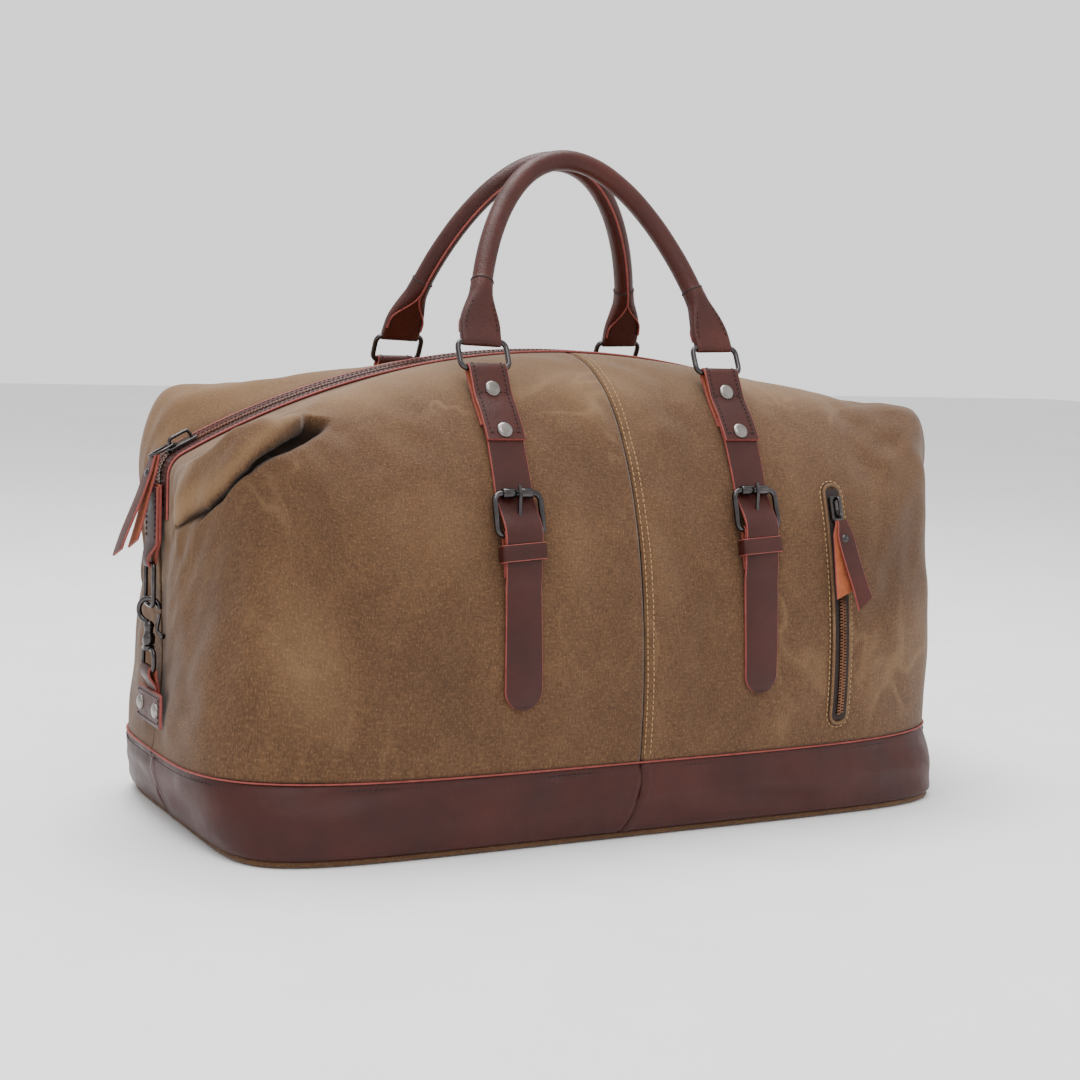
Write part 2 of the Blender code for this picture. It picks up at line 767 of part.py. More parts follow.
def rings():
    up = Vector((0, RING_HIGH[0] - RING_LOW[0], RING_HIGH[1] - RING_LOW[1]))
    middle_y, middle_z = (RING_LOW[0] + RING_HIGH[0]) / 2, (RING_LOW[1] + RING_HIGH[1]) / 2
    outline = rounded_box(RING_HALF, up.length / 2, 0.0045, 3)
    for side, x in (("left", -STRAP_X), ("right", STRAP_X)):
        frame = facing((x, middle_y, middle_z), Vector((1, 0, 0)).cross(up), up)
        points = [frame @ Vector((a, b, 0)) for a, b in outline]
        ring = wire(f"ring_front_{side}", points, RING_WIRE, "steel", closed=True, sides=2)
        far = "right" if side == "left" else "left"
        half_turn(ring, f"ring_back_{far}")


def handle():
    """A rolled tube in a leaning arch. Each end flares into a flat strap folded round a ring's upper bar."""
    foot = Vector((0, *RING_HIGH))
    rise = Vector((0, HANDLE_TOP[0] - RING_HIGH[0], HANDLE_TOP[1] - RING_HIGH[1]))
    height = rise.length
    up = rise.normalized()
    through = Vector((1, 0, 0)).cross(up)
    angles = np.linspace(0, math.pi, 400)
    xs = STRAP_X * np.cos(angles)
    heights = height * np.abs(np.sin(angles)) ** (2 / 1.5)
    run = np.concatenate([[0], np.cumsum(np.hypot(np.diff(xs), np.diff(heights)))])
    total = run[-1]
    past = FLARE_THICK
    near = [-past, 0, 0.007, 0.014, 0.021, 0.028, 0.034, 0.040]
    stations = near + list(np.linspace(0.048, total - 0.048, 27)) + [total - d for d in reversed(near)]
    sides = 12
    grid = bmesh.new()
    rows = []
    for distance in stations:
        inner = min(max(distance, 0), total)
        x, h = np.interp(inner, run, xs), np.interp(inner, run, heights) + (inner - distance if distance < 0 else 0)
        h -= max(-distance, distance - total, 0) * (1 if distance > total else 2 if distance < 0 else 0)
        step = 0.002
        ahead, behind = min(inner + step, total), max(inner - step, 0)
        dx = np.interp(ahead, run, xs) - np.interp(behind, run, xs)
        dh = np.interp(ahead, run, heights) - np.interp(behind, run, heights)
        if inner in (0, total):
            dx = 0
        tangent = (Vector((1, 0, 0)) * dx + up * dh).normalized()
        across = tangent.cross(through).normalized()
        from_bar = min(distance, total - distance)
        t = min(max((from_bar - 0.006) / 0.030, 0), 1)
        t = t * t * (3 - 2 * t)
        width = FLARE_HALF + (HANDLE_RADIUS - FLARE_HALF) * t
        thick = FLARE_THICK + (HANDLE_RADIUS - FLARE_THICK) * t
        power = 4 + (2 - 4) * t
        centre = foot + Vector((x, 0, 0)) + up * h
        ring = []
        for turn in range(sides):
            angle = 2 * math.pi * (turn + 0.5) / sides
            c, s = math.cos(angle), math.sin(angle)
            ring.append(grid.verts.new(
                centre + across * (width * math.copysign(abs(c) ** (2 / power), c))
                + through * (thick * math.copysign(abs(s) ** (2 / power), s))
            ))
        rows.append(ring)
    for a, b in zip(rows, rows[1:]):
        for i in range(sides):
            j = (i + 1) % sides
            grid.faces.new((a[i], a[j], b[j], b[i]))
    grid.faces.new(rows[0])
    grid.faces.new(rows[-1])
    bmesh.ops.recalc_face_normals(grid, faces=grid.faces)
    data = bpy.data.meshes.new("handle_front")
    grid.to_mesh(data)
    grid.free()
    piece = add("handle_front", data, "leather")
    data.shade_smooth()
    for side, x in (("left", -STRAP_X), ("right", STRAP_X)):
        bar = rod(f"bar_hole_{side}", RING_WIRE + GAP, 0.04, facing((x, *RING_HIGH), (1, 0, 0), (0, 0, 1)),
                  "leather", sides=12)
        combine(piece, bar, "DIFFERENCE")
    back = half_turn(piece, "handle_back")
    back.modifiers.clear()
    for side, x in (("left", -STRAP_X), ("right", STRAP_X)):
        bar = rod(f"back_bar_hole_{side}", RING_WIRE + GAP, 0.04,
                  facing((x, -RING_HIGH[0], RING_HIGH[1]), (1, 0, 0), (0, 0, 1)), "leather", sides=12)
        combine(back, bar, "DIFFERENCE")


# ---------------------------------------------------------------- the front pocket


def pocket_arc():
    """Centre (y, z) and radius of the arc that the pocket's zip follows, just outside the canvas."""
    profile = front_profile(POCKET_X)
    points = [at_height(profile, z, 0.0024) for z in (POCKET_LOW, 0.140, POCKET_HIGH)]
    (ay, az), (by, bz), (cy, cz) = points
    d = 2 * (ay * (bz - cz) + by * (cz - az) + cy * (az - bz))
    a2, b2, c2 = ay * ay + az * az, by * by + bz * bz, cy * cy + cz * cz
    y = (a2 * (bz - cz) + b2 * (cz - az) + c2 * (az - bz)) / d
    z = (a2 * (cy - by) + b2 * (ay - cy) + c2 * (by - ay)) / d
    return (y, z), math.hypot(ay - y, az - z)


POCKET_CENTRE, POCKET_RADIUS = pocket_arc()


def pocket_angle(z):
    """The angle on the pocket's arc at that height, from straight out to the front, upwards."""
    return math.asin((z - POCKET_CENTRE[1]) / POCKET_RADIUS)


def on_pocket(z, out=0.0):
    """The point (y, z) on the pocket's arc at that height, then out from it."""
    angle = pocket_angle(z)
    reach = POCKET_RADIUS + out
    return POCKET_CENTRE[0] - reach * math.cos(angle), POCKET_CENTRE[1] + reach * math.sin(angle)


def pocket():
    heights = np.linspace(POCKET_HIGH, POCKET_LOW, 15)
    ribbon("pocket_zipper", [on_pocket(z) for z in heights], 0.0056, "brass_chain", 0.0012, POCKET_X)
    angle = pocket_angle(POCKET_SLIDER_Z)
    outwards = (0, -math.cos(angle), math.sin(angle))
    frame = facing((POCKET_X, *on_pocket(POCKET_SLIDER_Z, 0.0024)), outwards, (0, 0, 1))
    body = box("pocket_slider", (0.0085, 0.0165, 0.0024), frame, "steel")
    post = box("pocket_slider_post", (0.0026, 0.0100, 0.0036), frame @ Matrix.Translation((0, 0, 0.0024)), "steel")
    combine(body, post, "UNION")

    start = Vector(on_pocket(POCKET_SLIDER_Z - 0.0100, 0.0058))
    tip = Vector(on_pocket(POCKET_SLIDER_Z - 0.0620, 0.0110))
    path = [tuple(start.lerp(tip, t)) for t in np.linspace(0, 1, 6)]
    ribbon("pocket_pull", path, 0.0062, "leather", 0.0024, POCKET_X)

    def bag_point(s, t):
        """The pouch hangs flat between the canvas and the lining."""
        height = 0.066 + 0.140 * t
        half = 0.038
        x = POCKET_X - 0.030 + (2 * s - 1) * half
        y, z = at_height(pouch_profiles[int(round(s * 4))], height, -0.0040)
        return x, y, z

    pouch_profiles = [front_profile(POCKET_X - 0.030 + (2 * s - 1) * 0.038) for s in np.linspace(0, 1, 5)]
    surface("pocket_pouch", bag_point, "lining", 4, 6, 0.0014)


# ---------------------------------------------------------------- the hardware of the ends


def end_tab():
    """A leather tab over the tip of the zip, folded round the end ring's upper bar."""
    wrap = END_WIRE + GAP + 0.00075
    inner, outer = END_X + wrap, END_X + 0.0008
    path = [(inner, 0.2055), (inner, 0.1900), (inner, 0.1720), (inner, 0.1640)]
    path += arc((END_X, TAB_BAR_Z), wrap, 0, -180, 8)
    path += [(END_X - wrap, 0.1625), (outer, 0.1700), (outer, 0.1860), (outer, 0.2040)]
    widths = [0.0110 if z > 0.169 else 0.0052 if z > 0.1622 else 0.0042 for _, z in path]
    tab = end_strap("end_tab_left", path, widths, "leather", 0.0015)
    half_turn(tab, "end_tab_right")


def end_ring():
    middle = (TAB_BAR_Z + END_RING_LOW) / 2
    outline = rounded_box(0.0080, (TAB_BAR_Z - END_RING_LOW) / 2, 0.0034, 3)
    points = [(END_X, a, middle + b) for a, b in outline]
    ring = wire("end_ring_left", points, END_WIRE, "steel", closed=True, sides=2)
    half_turn(ring, "end_ring_right")


HOOK_ACROSS = Vector((math.cos(math.radians(-50)), math.sin(math.radians(-50)), 0))


def on_hook(across, up):
    """A point in the snap's own plane, from the centre of its hook."""
    return Vector((END_X, 0, SNAP_Z + up)) + HOOK_ACROSS * across


def snap():
    middle = (EYE_LOW + EYE_HIGH) / 2
    outline = rounded_box(0.0108, (EYE_HIGH - EYE_LOW) / 2, 0.0035, 3)
    eye = wire("snap_eye_left", [(END_X, a, middle + b) for a, b in outline], END_WIRE, "steel", closed=True, sides=2)
    collar = rod("eye_collar", 0.0034, 0.0032, Matrix.Translation((END_X, 0, EYE_HIGH + 0.0003)), "steel")
    eye = combine(eye, collar, "UNION")

    hook = [on_hook(*p) for p in arc((0, 0), SNAP_RADIUS, 8, 262, 18)]
    body = wire("snap_body_left", hook, 0.0015, "steel", sides=2)
    profile = [(0, -0.0070), (0.0022, -0.0074), (0.0030, -0.0090), (0.0030, -0.0150), (0.0036, -0.0160),
               (0.0036, -0.0206), (0, -0.0206)]
    stem = turned("snap_stem", profile, Matrix.Translation((END_X, 0, SNAP_Z)), "steel", 14)
    stem = as_mesh(stem)
    body = combine(body, stem, "UNION")

    lever = [(0.0094, -0.0150), (0.0078, -0.0138), (0.0056, -0.0125), (0.0056, -0.0100), (0.0062, -0.0070),
             (0.0069, -0.0040), (0.0070, -0.0016)]
    gate = wire("snap_gate_left", [on_hook(*p) for p in lever], 0.0011, "steel", sides=2)
    return eye, body, gate


def anchor():
    """The leather loop that holds the snap's eye, and the riveted patch over its ends."""
    wrap = END_WIRE + GAP + 0.0006
    inner, outer = -0.26375, -0.26535
    path = [(inner, 0.0660), (inner, 0.0750), (inner, 0.0830), (END_X + wrap, 0.0905)]
    path += arc((END_X, EYE_LOW), wrap, 0, 180, 8)
    path += [(END_X - wrap, 0.0915), (outer, 0.0845), (outer, 0.0750), (outer, 0.0660)]
    loop = end_strap("anchor_loop_left", path, 0.0085, "leather", 0.0012)
    half_turn(loop, "anchor_loop_right")

    frame = facing((-0.26700, 0, 0.0720), (-1, 0, 0), (0, 0, 1))
    outline = rounded_box(0.0225, 0.0103, 0.0025, 3)
    patch = plate("anchor_patch_left", [outline], 0.0016, frame, "leather")
    head = [(0, 0.0022), (0.0034, 0.0020), (0.0048, 0.0010), (0.0048, 0.0002), (0, 0.0002)]
    for number, y in ((1, -0.0145), (2, 0.0145)):
        spot = facing((-0.26750, y, 0.0720), (-1, 0, 0), (0, 0, 1))
        patch = combine(patch, as_mesh(turned(f"patch_rivet_{number}", head, spot, "nickel", 16)), "UNION")
    return patch


def right_copies(pieces):
    """Copies of pieces with Boolean modifiers, made solid first so that the copy carries the result."""
    for piece in pieces:
        graph = bpy.context.evaluated_depsgraph_get()
        data = bpy.data.meshes.new_from_object(piece.evaluated_get(graph))
        name = piece.name.replace("_left", "_right")
        data.name = name
        copy = bpy.data.objects.new(name, data)
        bag.objects.link(copy)
        copy.matrix_world = Matrix.Rotation(math.pi, 4, "Z") @ piece.matrix_world


# ---------------------------------------------------------------- the whole bag

canvas_panels()
base_panels()
floor_pieces()
lining_piece()
top_zip()
main_slider()
main_pull()
front_straps()
rings()
handle()
pocket()
end_tab()
end_ring()
snap_pieces = snap()
patch_piece = anchor()
bpy.context.view_layer.update()
right_copies([*snap_pieces, patch_piece])
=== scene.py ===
"""The looks of the canvas duffel bag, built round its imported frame, in metres.

The canvas is the same smooth surface as in the solids, with its folds and wrinkles added. Each strap,
buckle and handle stands on the place of its solid and replaces it. The back is the front turned half
round the vertical axis, without buckles."""

import math

import bmesh
import bpy
import numpy as np
from mathutils import Matrix, Vector


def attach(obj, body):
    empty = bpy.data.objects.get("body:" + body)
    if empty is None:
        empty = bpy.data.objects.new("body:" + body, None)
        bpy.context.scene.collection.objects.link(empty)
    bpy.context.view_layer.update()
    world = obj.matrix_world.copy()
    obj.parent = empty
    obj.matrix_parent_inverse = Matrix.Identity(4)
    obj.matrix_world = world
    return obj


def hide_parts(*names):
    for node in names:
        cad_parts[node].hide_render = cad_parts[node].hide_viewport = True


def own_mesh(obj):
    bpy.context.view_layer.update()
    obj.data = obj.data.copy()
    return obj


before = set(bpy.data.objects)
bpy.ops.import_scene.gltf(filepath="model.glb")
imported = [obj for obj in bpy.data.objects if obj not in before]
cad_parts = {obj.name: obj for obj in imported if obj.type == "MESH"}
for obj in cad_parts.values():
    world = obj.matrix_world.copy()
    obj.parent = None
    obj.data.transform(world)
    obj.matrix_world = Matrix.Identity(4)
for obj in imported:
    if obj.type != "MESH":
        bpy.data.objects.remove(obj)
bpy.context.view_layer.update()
ROOT = "bag"

# ---- the shape of the bag

HALF_LENGTH = 0.265
HALF_WIDTH = 0.128
PIPING_POWER = 4.0
BOTTOM_HALF_LENGTH = 0.252
BOTTOM_HALF_WIDTH = 0.132
BOTTOM_POWER = 7.0
BASE_TOP = 0.045
BASE_BOTTOM = 0.0034
BASE_BULGE = 0.003
LINING_SLACK = np.array([0.935, 0.87, 0.93])
SEAM_SWEEP = 0.014
HALF_OUTLINE = 0.73
PANEL_HEIGHT = 0.27

ZIP_TOP = 0.289
ZIP_RADIUS = 0.53
ZIP_ARC = math.radians(28.7)
BEND_RADIUS = 0.015
ZIP_TIP = 0.190
FACING_INNER = 0.0035
FACING_OUTER = 0.0162
FACING_EDGE = 0.0168
FACING_LAP = 0.0045

STRAP_X = 0.0835
STRAP_HALF = 0.012
RING_LOW = (-0.0672, 0.2796)
RING_HIGH = (-0.0598, 0.2954)
RING_HALF = 0.0163
RING_WIRE = 0.0017
HANDLE_TOP = (-0.0068, 0.4115)
HANDLE_RADIUS = 0.0065
ROLLER_Z, ROLLER_OUT = 0.2065, 0.0056
HEEL_Z, HEEL_OUT = 0.1835, 0.00485
BUCKLE_WIRE, BUCKLE_HALF = 0.0018, 0.015
TIP_Z = 0.083
KEEPER_Z, KEEPER_HEIGHT = 0.1735, 0.010

POCKET_X = 0.147
POCKET_HIGH, POCKET_LOW = 0.208, 0.062
POCKET_SLIDER_Z = 0.196

END_X = -0.268
END_WIRE = 0.0014
TAB_BAR_Z, END_RING_LOW = 0.1585, 0.1332
SNAP_Z, SNAP_RADIUS = 0.130, 0.0072
EYE_LOW, EYE_HIGH = 0.0945, 0.1070


def superellipse(half_length, half_width, power):
    angle = np.linspace(0, math.pi, 1441)
    cosine = np.cos(angle)
    x = -half_length * np.sign(cosine) * np.abs(cosine) ** (2 / power)
    y = -half_width * np.abs(np.sin(angle)) ** (2 / power)
    y[0] = y[-1] = 0
    run = np.concatenate([[0], np.cumsum(np.hypot(np.diff(x), np.diff(y)))])
    return run / run[-1], x, y


PIPING = superellipse(HALF_LENGTH, HALF_WIDTH, PIPING_POWER)
BOTTOM = superellipse(BOTTOM_HALF_LENGTH, BOTTOM_HALF_WIDTH, BOTTOM_POWER)


def on_outline(outline, u):
    """Points and outward directions, each (..., 2), at share u of a half outline."""
    share, x, y = outline
    low, high = np.maximum(u - 0.004, 0), np.minimum(u + 0.004, 1)
    tx = np.interp(high, share, x) - np.interp(low, share, x)
    ty = np.interp(high, share, y) - np.interp(low, share, y)
    size = np.hypot(tx, ty)
    place = np.stack([np.interp(u, share, x), np.interp(u, share, y)], -1)
    return place, np.stack([ty / size, -tx / size], -1)


ARC_LENGTH = ZIP_RADIUS * ZIP_ARC
ARC_CENTRE_Z = ZIP_TOP - ZIP_RADIUS
BEND_X = (ZIP_RADIUS - BEND_RADIUS) * math.sin(ZIP_ARC)
BEND_Z = ARC_CENTRE_Z + (ZIP_RADIUS - BEND_RADIUS) * math.cos(ZIP_ARC)
BEND_LENGTH = BEND_RADIUS * (math.pi / 2 - ZIP_ARC)
ZIP_HALF = ARC_LENGTH + BEND_LENGTH + BEND_Z - ZIP_TIP


def zip_point(s, out=0.0):
    """x and z of the zip's line at distance s from the middle, out along its normal."""
    s = np.asarray(s, float)
    side, run = np.where(s < 0, -1.0, 1.0), np.abs(s)
    angle = np.minimum(run, ARC_LENGTH) / ZIP_RADIUS
    bend = np.clip(run - ARC_LENGTH, 0, BEND_LENGTH) / BEND_RADIUS + ZIP_ARC
    drop = np.maximum(run - ARC_LENGTH - BEND_LENGTH, 0)
    on_arc = run <= ARC_LENGTH
    x = np.where(on_arc, (ZIP_RADIUS + out) * np.sin(angle), BEND_X + (BEND_RADIUS + out) * np.sin(bend))
    z = np.where(
        on_arc,
        ARC_CENTRE_Z + (ZIP_RADIUS + out) * np.cos(angle),
        BEND_Z + (BEND_RADIUS + out) * np.cos(bend) - drop,
    )
    return side * x, z


def top_edge(u):
    end = np.minimum(u, 1 - u)
    side = np.where(u < 0.5, -1.0, 1.0)
    share = 2 * end
    run = (FACING_EDGE + ZIP_HALF) * share * (1 - 0.55 * (1 - share) ** 2)
    under = run < FACING_EDGE
    x, z = zip_point(side * np.where(under, ZIP_HALF + 0.0034, ZIP_HALF - (run - FACING_EDGE)))
    return np.stack([x, -np.minimum(run, FACING_EDGE), z], -1)


ENDS = np.array((0, 0.07, 0.155, 0.26, 0.5))
RISE = (0.050, 0.090, 0.185, 0.150, 0.125)
BELLY = (-0.010, -0.003, 0.004, 0.008, 0.009)
SHOULDER = (0.004, 0.030, 0.066, 0.074, 0.0755)
LIFT = (-0.055, -0.010, 0.048, 0.012, -0.002)
EAR = (0.0, 0.004, 0.010, 0.004, 0.0)


def smooth(t):
    t = np.clip(t, 0, 1)
    return t * t * (3 - 2 * t)


def eased(end, values):
    values = np.asarray(values)
    i = np.clip(np.searchsorted(ENDS, end, side="right") - 1, 0, len(ENDS) - 2)
    t = smooth((end - ENDS[i]) / (ENDS[i + 1] - ENDS[i]))
    return values[i] + (values[i + 1] - values[i]) * t


def shell(u, v):
    """The smooth canvas surface of the front, as in the solids: (..., 3) for arrays u and v."""
    u, v = np.broadcast_arrays(np.asarray(u, float), np.asarray(v, float))
    end = np.minimum(u, 1 - u)
    side = np.where(u < 0.5, -1.0, 1.0)
    foot, outwards = on_outline(PIPING, u)
    belly = eased(end, BELLY)
    start = np.stack([foot[..., 0], foot[..., 1], np.full(u.shape, BASE_TOP)], -1)
    above = start + np.stack([outwards[..., 0] * belly, outwards[..., 1] * belly, eased(end, RISE)], -1)
    edge = top_edge(u)
    beside = edge + np.stack([side * eased(end, EAR), -eased(end, SHOULDER), eased(end, LIFT)], -1)
    w = (1 - v)[..., None]
    t = v[..., None]
    return start * w**3 + above * 3 * w * w * t + beside * 3 * w * t * t + edge * t**3


def unit(a):
    return a / np.maximum(np.linalg.norm(a, axis=-1, keepdims=True), 1e-12)


def front_profile(x, samples=160):
    """(y, z) of the canvas up the line at that x, and the outward normals."""
    rows = np.linspace(0, 1, samples)
    low, high = np.full(samples, 0.02), np.full(samples, 0.98)
    for _ in range(30):
        middle = (low + high) / 2
        left = shell(middle, rows)[:, 0] < x
        low, high = np.where(left, middle, low), np.where(left, high, middle)
    points = shell(low, rows)[:, 1:]
    slope = unit(np.gradient(points, axis=0))
    return points, np.stack([-slope[:, 1], slope[:, 0]], 1)


def at_height(profile, z, out):
    points, normals = profile
    y = np.interp(z, points[:, 1], points[:, 0])
    normal = unit(np.array([np.interp(z, points[:, 1], normals[:, i]) for i in (0, 1)]))
    return np.array([y + out * normal[0], z + out * normal[1]])


def normal_at(profile, z):
    return at_height(profile, z, 1) - at_height(profile, z, 0)


# ---- materials


class Nodes:
    """A short way to write a material's node tree."""

    def __init__(self, name):
        self.material = bpy.data.materials.new(name)
        self.material.use_nodes = True
        self.tree = self.material.node_tree
        self.shader = self.tree.nodes["Principled BSDF"]

    def add(self, kind, settings=None, **inputs):
        node = self.tree.nodes.new(kind)
        for key, value in (settings or {}).items():
            setattr(node, key, value)
        for key, value in inputs.items():
            self.put(node.inputs[int(key[1:]) if key[0] == "i" and key[1:].isdigit() else key.replace("_", " ")], value)
        return node

    def put(self, socket, value):
        if isinstance(value, bpy.types.NodeSocket):
            self.tree.links.new(value, socket)
        else:
            socket.default_value = value

    def set(self, **inputs):
        for key, value in inputs.items():
            self.put(self.shader.inputs[key.replace("_", " ")], value)

    def coords(self, output="Object", scale=(1, 1, 1)):
        source = self.add("ShaderNodeTexCoord").outputs[output]
        if scale == (1, 1, 1):
            return source
        mapping = self.add("ShaderNodeMapping", Scale=scale)
        self.put(mapping.inputs["Vector"], source)
        return mapping.outputs["Vector"]

    def noise(self, vector, scale, detail=3.0, rough=0.5, distortion=0.0):
        node = self.add(
            "ShaderNodeTexNoise", Vector=vector, Scale=scale, Detail=detail, Roughness=rough, Distortion=distortion
        )
        return node.outputs["Fac"]

    def ramp(self, value, low, high, to_low=0.0, to_high=1.0):
        node = self.add("ShaderNodeMapRange", {"clamp": True}, i0=value, i1=low, i2=high, i3=to_low, i4=to_high)
        return node.outputs[0]

    def maths(self, operation, a, b=0.5):
        return self.add("ShaderNodeMath", {"operation": operation}, i0=a, i1=b).outputs[0]

    def mix(self, share, a, b):
        node = self.add("ShaderNodeMix", {"data_type": "RGBA"}, i0=share)
        self.put(node.inputs[6], a)
        self.put(node.inputs[7], b)
        return node.outputs[2]

    def bump(self, height, distance, strength=1.0, normal=None):
        node = self.add("ShaderNodeBump", Height=height, Distance=distance, Strength=strength)
        if normal is not None:
            self.put(node.inputs["Normal"], normal)
        return node.outputs["Normal"]


def colour(red, green, blue):
    """Linear colour from 0 to 255 values."""
    shares = (c / 255 for c in (red, green, blue))
    return tuple(c / 12.92 if c <= 10 / 255 else ((c + 0.055) / 1.055) ** 2.4 for c in shares) + (1,)


CANVAS_DARK, CANVAS_MID, CANVAS_LIGHT = colour(80, 53, 32), colour(95, 66, 42), colour(110, 80, 52)
CANVAS_GAP, CANVAS_PALE, CANVAS_SHADE = colour(48, 30, 18), colour(148, 118, 84), colour(28, 17, 11)


def canvas_material():
    """Waxed canvas: fine weave with slubs, cloudy wax, random pale rub marks, and the cloth's tone attribute, which
    paints shade in the folds and dips and highlight on the crests.
    """
    n = Nodes("waxed_canvas")
    cloth = n.coords("UV")
    clouds = n.noise(cloth, 15.0, 5.0, 0.6)
    blotches = n.noise(cloth, 60.0, 4.0, 0.65, 0.6)
    weft = n.noise(n.coords("UV", (0.2, 1, 1)), 1050.0, 2.0, 0.6)
    warp = n.noise(n.coords("UV", (1, 0.2, 1)), 1050.0, 2.0, 0.6)
    threads = n.maths("MULTIPLY", n.maths("ADD", weft, warp), 0.5)
    speck = n.noise(cloth, 800.0, 3.0, 0.75)
    marks = n.maths("ABSOLUTE", n.maths("SUBTRACT", n.noise(cloth, 17.0, 2.0, 0.5, 0.9), 0.5))
    where = n.ramp(n.noise(cloth, 13.0, 2.0), 0.52, 0.66)
    rubbed = n.maths("MULTIPLY", n.ramp(marks, 0.0, 0.05, 1.0, 0.0), where)
    wear_and_shading = n.add("ShaderNodeAttribute", {"attribute_name": "wear_and_shading"}).outputs["Fac"]
    base = n.mix(n.ramp(clouds, 0.25, 0.75), CANVAS_DARK, CANVAS_MID)
    base = n.mix(n.ramp(blotches, 0.45, 0.75, 0.0, 0.4), base, CANVAS_LIGHT)
    base = n.mix(n.ramp(threads, 0.38, 0.60, 0.55, 0.0), base, CANVAS_GAP)
    base = n.mix(n.ramp(speck, 0.52, 0.74, 0.0, 0.5), base, CANVAS_PALE)
    base = n.mix(n.maths("MULTIPLY", rubbed, 0.22), base, CANVAS_PALE)
    # Painted highlight and shade: where the tone attribute is above 0.5 the cloth turns pale, and where it is below 0.5
    # it turns towards CANVAS_SHADE.
    base = n.mix(n.ramp(wear_and_shading, 0.5, 1.0, 0.0, 0.75), base, CANVAS_PALE)
    base = n.mix(n.ramp(wear_and_shading, 0.0, 0.5, 0.85, 0.0), base, CANVAS_SHADE)
    fine = n.bump(n.maths("ADD", threads, n.maths("MULTIPLY", speck, 0.4)), 0.0005, 0.55)
    n.set(Base_Color=base, Roughness=0.86, Normal=n.bump(blotches, 0.0012, 0.25, fine))
    n.set(**{"Specular IOR Level": 0.25, "Sheen Weight": 0.12, "Sheen Roughness": 0.5})
    return n.material


def leather_material(name, dark, light, roughness=0.42, grain=1.0):
    """Pull-up leather: fine pebble grain, soft clouds of wax, slight creases."""
    n = Nodes(name)
    place = n.coords()
    clouds = n.noise(place, 22.0, 4.0, 0.6)
    cells = n.add("ShaderNodeTexVoronoi", {"feature": "DISTANCE_TO_EDGE"}, Vector=place, Scale=900.0)
    pores = n.noise(place, 1400.0, 2.0)
    crease = n.noise(place, 120.0, 4.0, 0.6, 0.8)
    base = n.mix(n.ramp(clouds, 0.3, 0.7), dark, light)
    base = n.mix(n.ramp(pores, 0.35, 0.5, 0.35, 0.0), base, colour(34, 18, 16))
    shine = n.ramp(n.noise(place, 60.0, 4.0), 0.3, 0.7, roughness - 0.06, roughness + 0.1)
    pebble = n.bump(n.ramp(cells.outputs["Distance"], 0.0, 0.35), 0.00022, 0.35 * grain)
    n.set(Base_Color=base, Roughness=shine, Normal=n.bump(crease, 0.0007, 0.35, pebble))
    n.set(**{"Specular IOR Level": 0.28, "Coat Weight": 0.04, "Coat Roughness": 0.35})
    return n.material


def plain_material(name, dark, light, scale, roughness, metallic=0.0, bump=0.0001, streak=(1, 1, 1)):
    """One material with its colour, gloss and surface varied by noise."""
    n = Nodes(name)
    place = n.coords("Object", streak)
    cloud = n.noise(place, scale, 4.0, 0.6)
    fine = n.noise(place, scale * 9, 3.0)
    n.set(
        Base_Color=n.mix(n.ramp(cloud, 0.3, 0.7), dark, light),
        Roughness=n.ramp(fine, 0.3, 0.7, roughness * 0.8, roughness * 1.25),
        Metallic=metallic,
        Normal=n.bump(fine, bump, 0.4),
    )
    return n.material


def woven_material(name, dark, light, pitch):
    """Tape or lining: threads over and under."""
    n = Nodes(name)
    place = n.coords()
    waves = [
        n.add("ShaderNodeTexWave", {"bands_direction": axis}, Vector=place, Scale=1 / (2 * pitch), Distortion=0.6)
        for axis in ("X", "Y", "Z")
    ]
    x, y, z = (wave.outputs["Fac"] for wave in waves)
    weave = n.maths("ADD", n.maths("MULTIPLY", x, y), z)
    n.set(
        Base_Color=n.mix(n.ramp(weave, 0.2, 1.6), dark, light),
        Roughness=0.85,
        Normal=n.bump(weave, pitch * 0.4, 0.5),
    )
    return n.material


MATERIALS = {
    "canvas": canvas_material(),
    "leather": leather_material("brown_leather", colour(46, 12, 7), colour(64, 20, 12), 0.46),
    "soft_leather": leather_material("soft_leather", colour(50, 14, 8), colour(72, 25, 15), 0.42, 1.3),
    "edge": plain_material("edge_paint", colour(118, 50, 44), colour(146, 68, 59), 180, 0.6),
    "flesh": plain_material("leather_flesh", colour(132, 62, 30), colour(158, 86, 48), 240, 0.85, 0, 0.0004),
    "gunmetal": plain_material("gunmetal", colour(60, 57, 58), colour(84, 80, 80), 90, 0.22, 1.0, 0.000004),
    "nickel": plain_material("satin_nickel", colour(118, 113, 109), colour(150, 145, 140), 120, 0.3, 1.0, 0.00001),
    "teeth": plain_material("antique_teeth", colour(84, 56, 42), colour(124, 88, 66), 300, 0.34, 1.0, 0.00001),
    "tape": woven_material("zip_tape", colour(26, 16, 13), colour(44, 30, 25), 0.0006),
    "tan_thread": plain_material("tan_thread", colour(150, 118, 78), colour(178, 146, 102), 700, 0.8, 0, 0.0003),
    "dark_thread": plain_material("dark_thread", colour(22, 9, 7), colour(38, 18, 14), 700, 0.75, 0, 0.0003),
    "lining": woven_material("lining_cloth", colour(84, 72, 58), colour(112, 98, 80), 0.0007),
    "board": plain_material("base_board", colour(34, 33, 32), colour(48, 46, 44), 90, 0.8),
}
SLOTS = {kind: kind for kind in MATERIALS}
SLOTS.update(dict.fromkeys(("soft_leather", "edge", "flesh", "dark_thread"), "leather"))
SLOTS.update(gunmetal="steel", teeth="chain", tape="chain", tan_thread="canvas")

# ---- mesh tools


